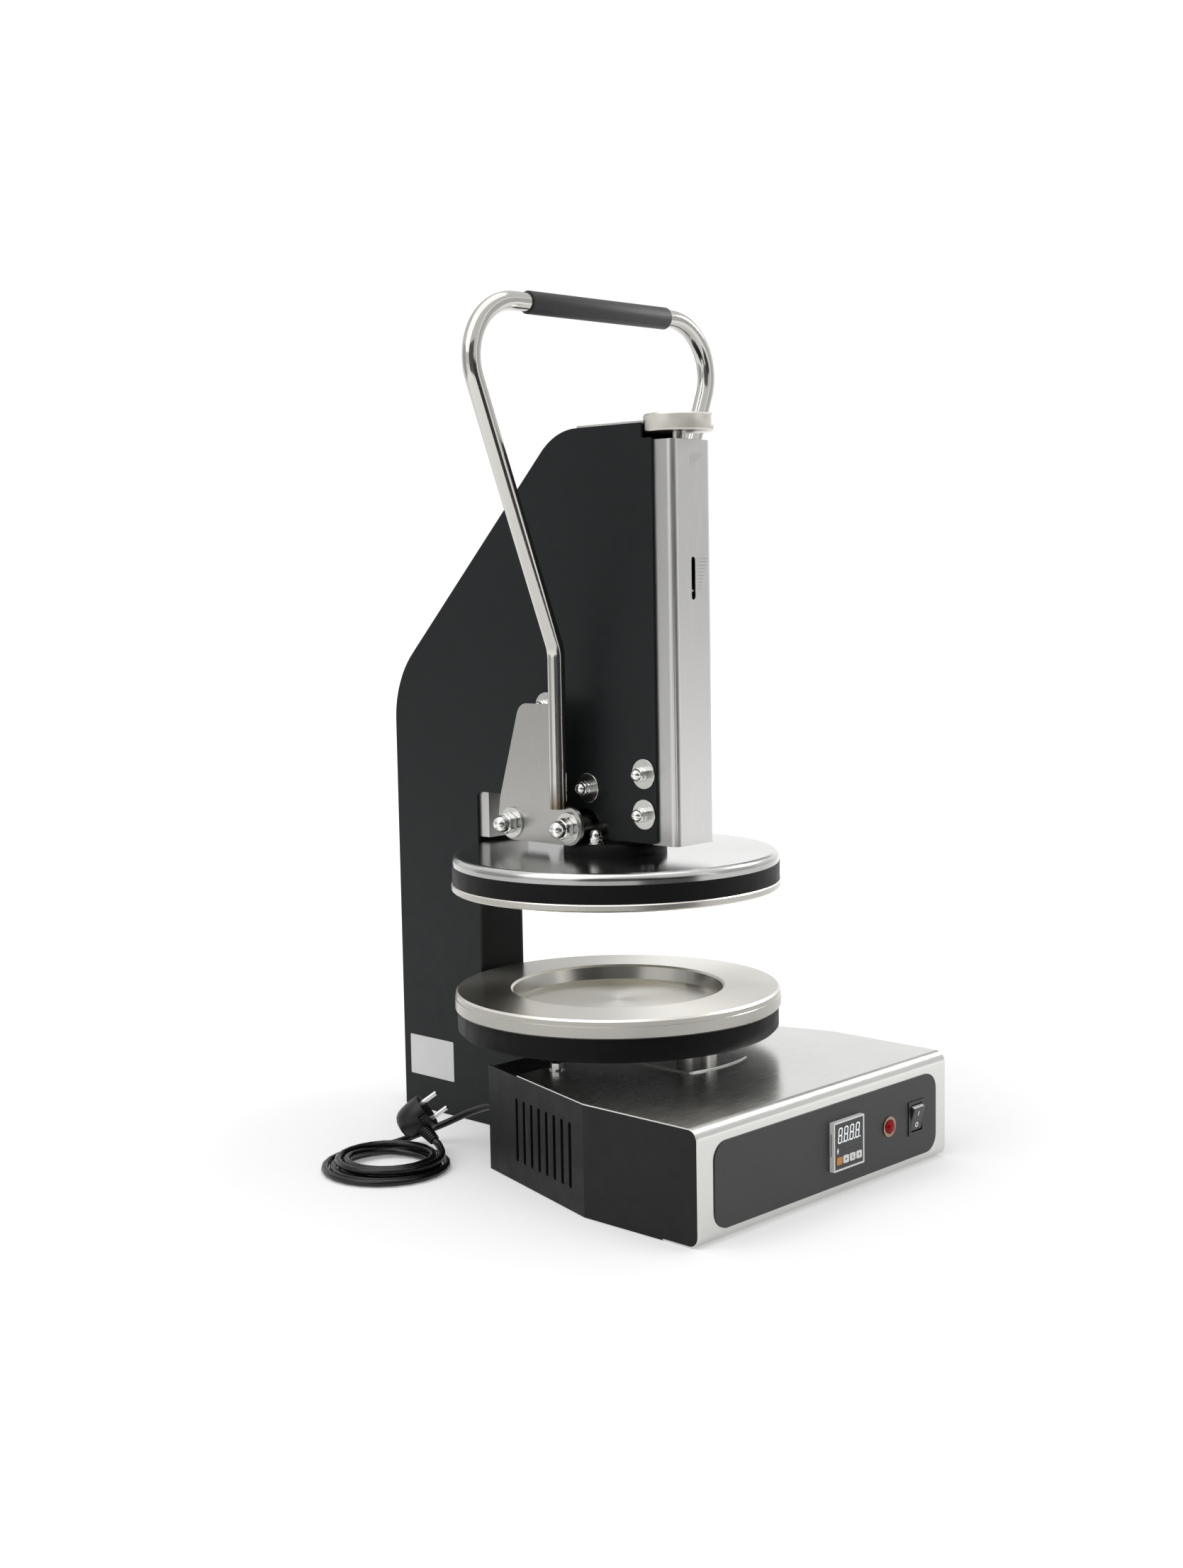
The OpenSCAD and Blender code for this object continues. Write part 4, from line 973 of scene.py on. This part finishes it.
PLUG_AT = RELIEF_END + RELIEF_DIR * RELIEF_LEN
PLUG_TILT, PLUG_TURN = math.radians(35), math.radians(-45)
PLUG_AXIS = Vector((math.cos(PLUG_TILT) * math.cos(PLUG_TURN), math.cos(PLUG_TILT) * math.sin(PLUG_TURN),
                    math.sin(PLUG_TILT)))
NOTCH_SIDE = Vector((-math.sin(PLUG_TURN), math.cos(PLUG_TURN), 0))
PIN_SIDE = NOTCH_SIDE.cross(PLUG_AXIS)
# Sections from the back to the front: height, half length towards the cord, half width
PLUG_SECTIONS = [(-18, 7, 5), (-17.2, 10, 8), (-15, 13.5, 11.5), (-11, 16.3, 14.5), (-5, 17.8, 16.6),
                 (1, 18.4, 18), (7, 18.5, 18.5), (7.2, 18.5, 18.5), (15, 18.5, 18.5),
                 (15.7, 18.1, 18.1), (16, 17.3, 17.3)]
PLUG_FRONT = 16
NOTCH_DEEP, NOTCH_FROM, NOTCH_HALF = 2.4, 7, 0.14
RIBS, RIB_PITCH, RIB_R, RIB_GROWTH = 8, 2.6, 5.5, 0.29
RIB_W, RIB_FLARE, GROOVE_FROM, GROOVE_TO, GROOVE_DEEP = 1.5, 0.15, 1.6, 2.5, 0.9
RELIEF_COLLAR = [(22, 7.8), (26, 8.4)]
PIN_APART = 9.5
PIN_RINGS = [(0, 2.4), (17, 2.4), (18, 2.1), (18.7, 1.5), (19, 0.7)]


def plug_reach(h, long, wide):
    """Outline of the plug at height h: longer towards the cord, with two notches near the front."""
    cord = math.atan2(-RELIEF_DIR.dot(NOTCH_SIDE), -RELIEF_DIR.dot(PIN_SIDE))

    def reach(a):
        notch = NOTCH_DEEP if h > NOTCH_FROM and abs(math.cos(a)) < NOTCH_HALF else 0
        return 1 / math.hypot(math.cos(a - cord) / long, math.sin(a - cord) / wide) - notch

    return reach


def relief_rings():
    """Ribs of the strain relief, which widen towards the plug."""
    rings = []
    for i in range(RIBS):
        h, r = RIB_PITCH * i, RIB_R + RIB_GROWTH * i
        rings += [(h, r), (h + RIB_W, r + RIB_FLARE)]
        rings += [(h + GROOVE_FROM, r - GROOVE_DEEP), (h + GROOVE_TO, r - GROOVE_DEEP)]
    return rings + RELIEF_COLLAR


def add_plug():
    """Moulded plug: a round front with two notches, a rounded back and a ribbed strain relief."""
    rings = [(h, plug_reach(h, long, wide)) for h, long, wide in PLUG_SECTIONS]
    body = lathe("body", PLUG_AT, PLUG_AXIS, rings, sides=72, side=PIN_SIDE)
    relief = lathe("relief", RELIEF_END, RELIEF_DIR, relief_rings(), sides=36)
    plug = piece("mains_plug", join("mains_plug", [body, relief]), "frame", plug_plastic)
    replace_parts(plug, "plug_body")
    feet = [PLUG_AT + PIN_SIDE * PIN_APART * side + PLUG_AXIS * PLUG_FRONT for side in SIDES]
    pins = [lathe("pin", foot, PLUG_AXIS, PIN_RINGS, sides=24) for foot in feet]
    pins = piece("mains_pins", join("mains_pins", pins), "frame", zinc)
    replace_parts(pins, "plug_pins")
    return [plug, pins]


# Camera

# The camera solved from the photograph: focal length and width of the picture in pixels
FOCAL, PICTURE_W = 2821.58, 1669
YAW, PITCH, ROLL = (math.radians(v) for v in (-45.9, 5.93, 1.02))
CAMERA_AT = (-1.48742, -1.4086, 0.59579)
SENSOR_W = 36


def add_camera():
    """The photograph's camera."""
    forward = Vector((-math.sin(YAW) * math.cos(PITCH), math.cos(YAW) * math.cos(PITCH), -math.sin(PITCH)))
    right = Vector((math.cos(YAW), math.sin(YAW), 0))
    down = forward.cross(right)
    x = right * math.cos(ROLL) + down * math.sin(ROLL)
    y = right * math.sin(ROLL) - down * math.cos(ROLL)
    camera = bpy.data.cameras.new("camera")
    camera.sensor_fit = "HORIZONTAL"
    camera.sensor_width = SENSOR_W
    camera.lens = SENSOR_W * FOCAL / PICTURE_W
    camera.clip_end = 50
    obj = bpy.data.objects.new("camera", camera)
    turn = Matrix((x, y, -forward)).transposed().to_4x4()
    obj.matrix_world = Matrix.Translation(CAMERA_AT) @ turn
    bpy.context.scene.collection.objects.link(obj)
    bpy.context.scene.camera = obj


# Light and floor, in metres

MIDDLE = Vector((0, 0, 0.4))
FLOOR_HALF, FLOOR_DROP = 8, 0.5
# Distances from the middle between which the floor turns from its near to its far brightness
FADE_FROM, FADE_TO = 0.4, 2.0


def rectangle(name, w, h):
    """A flat mesh about the origin."""
    return mesh_from(name, [(-w, -h, 0), (w, -h, 0), (w, h, 0), (-w, h, 0)], [(0, 1, 2, 3)])


def facing_middle(at, front):
    """Matrix of a thing at a place whose front axis points to the middle of the press."""
    at = Vector(at)
    return Matrix.Translation(at) @ (MIDDLE - at).to_track_quat(front, "Y").to_matrix().to_4x4()


def add_softbox(name, at, size, power):
    """A large soft lamp."""
    light = bpy.data.lights.new(name, "AREA")
    light.shape = "RECTANGLE"
    light.size, light.size_y = size
    light.energy = power
    obj = bpy.data.objects.new(name, light)
    obj.matrix_world = facing_middle(at, "-Z")
    bpy.context.scene.collection.objects.link(obj)


def seen(owner):
    """1 on rays from the camera, through glass and off gloss, 0 on softly scattered light."""
    path = add(owner, "LightPath").outputs
    direct = add(owner, "Math", {0: path["Is Camera Ray"], 1: path["Is Glossy Ray"]}, operation="MAXIMUM")
    both = add(owner, "Math", {0: direct.outputs[0], 1: path["Is Transmission Ray"]}, operation="MAXIMUM")
    return both.outputs[0]


def add_world(ambient):
    """White where the camera or a reflection sees it, a softer ambient light elsewhere."""
    world = bpy.data.worlds.new("studio")
    world.use_nodes = True
    bpy.context.scene.world = world
    strength = add(world, "MapRange", {"Value": seen(world), "To Min": ambient, "To Max": 1.0})
    background = world.node_tree.nodes["Background"]
    background.inputs["Color"].default_value = WHITE
    world.node_tree.links.new(strength.outputs["Result"], background.inputs["Strength"])


def add_floor(near, far):
    """A pale floor that keeps the shadow round the object and fades to white away from it."""
    mesh = rectangle("floor", FLOOR_HALF, FLOOR_HALF)
    floor = bpy.data.objects.new("floor", mesh)
    floor.location.z = -FLOOR_DROP * MM
    bpy.context.scene.collection.objects.link(floor)
    mat = material("floor", (0.9, 0.9, 0.9), roughness=0.9, Emission_Color=WHITE)
    away = add(mat, "VectorMath", {0: place(mat)}, operation="LENGTH")
    limits = {"From Min": FADE_FROM, "From Max": FADE_TO, "To Min": near, "To Max": far}
    lift = add(mat, "MapRange", {"Value": away.outputs["Value"], **limits})
    lift = add(mat, "Math", {0: seen(mat), 1: lift.outputs["Result"]}, operation="MULTIPLY")
    drive(mat, "Emission Strength", lift.outputs[0])
    mesh.materials.append(mat)


def add_card(name, at, size, tone):
    """A studio card that only reflections see."""
    mesh = rectangle(name, size[0] / 2, size[1] / 2)
    card = bpy.data.objects.new(name, mesh)
    card.matrix_world = facing_middle(at, "Z")
    bpy.context.scene.collection.objects.link(card)
    mat = material(name, (0, 0, 0), roughness=1.0, Emission_Color=WHITE, Emission_Strength=tone,
                   Specular_IOR_Level=0.0)
    mesh.materials.append(mat)
    card.visible_camera = False
    card.visible_diffuse = False
    card.visible_shadow = False


def light_studio():
    """Three soft lamps, and cards that set the tones of the metal."""
    add_world(ambient=0.5)
    add_softbox("key", (-1.9, 0.2, 2.2), size=(2.4, 2.4), power=22)
    add_softbox("fill", (1.6, -2.2, 1.2), size=(1.6, 2.0), power=9)
    add_softbox("top", (0, 0.2, 3.0), size=(2.4, 2.4), power=20)
    add_card("camera_card", (-1.9, -1.85, 0.75), size=(2.8, 2.2), tone=0.15)
    add_card("left_card", (-1.7, 1.8, 0.6), size=(2.0, 2.0), tone=0.62)
    add_card("front_card", (1.75, -1.75, 1.1), size=(1.8, 1.7), tone=0.76)
    add_card("back_card", (1.7, 1.75, 1.7), size=(3.0, 1.0), tone=0.3)
    add_card("bright_card", (2.35, 1.05, 0.55), size=(2.2, 0.8), tone=1.15)
    add_card("shade_card", (1.25, 2.25, 0.55), size=(1.8, 0.8), tone=0.55)
    add_card("stripe_card", (-0.3, -1.5, 0.3), size=(1.1, 1.2), tone=0.06)
    add_card("glint_card", (1.72, -0.5, 1.6), size=(0.5, 0.5), tone=20)
    add_floor(near=0.25, far=0.8)


paint_nodes()
soften_edges()
add_cord()
add_handle()
add_fasteners()
add_knob()
add_gauge_lines()
add_gauge_arrow()
add_digits()
add_display_marks()
add_unlit_marks()
add_clip_slot_shade()
add_keys()
add_key_marks()
add_rocker()
add_switch_marks()
add_lamp()
add_label()
add_camera()
light_studio()

bpy.context.scene.view_settings.view_transform = "Standard"
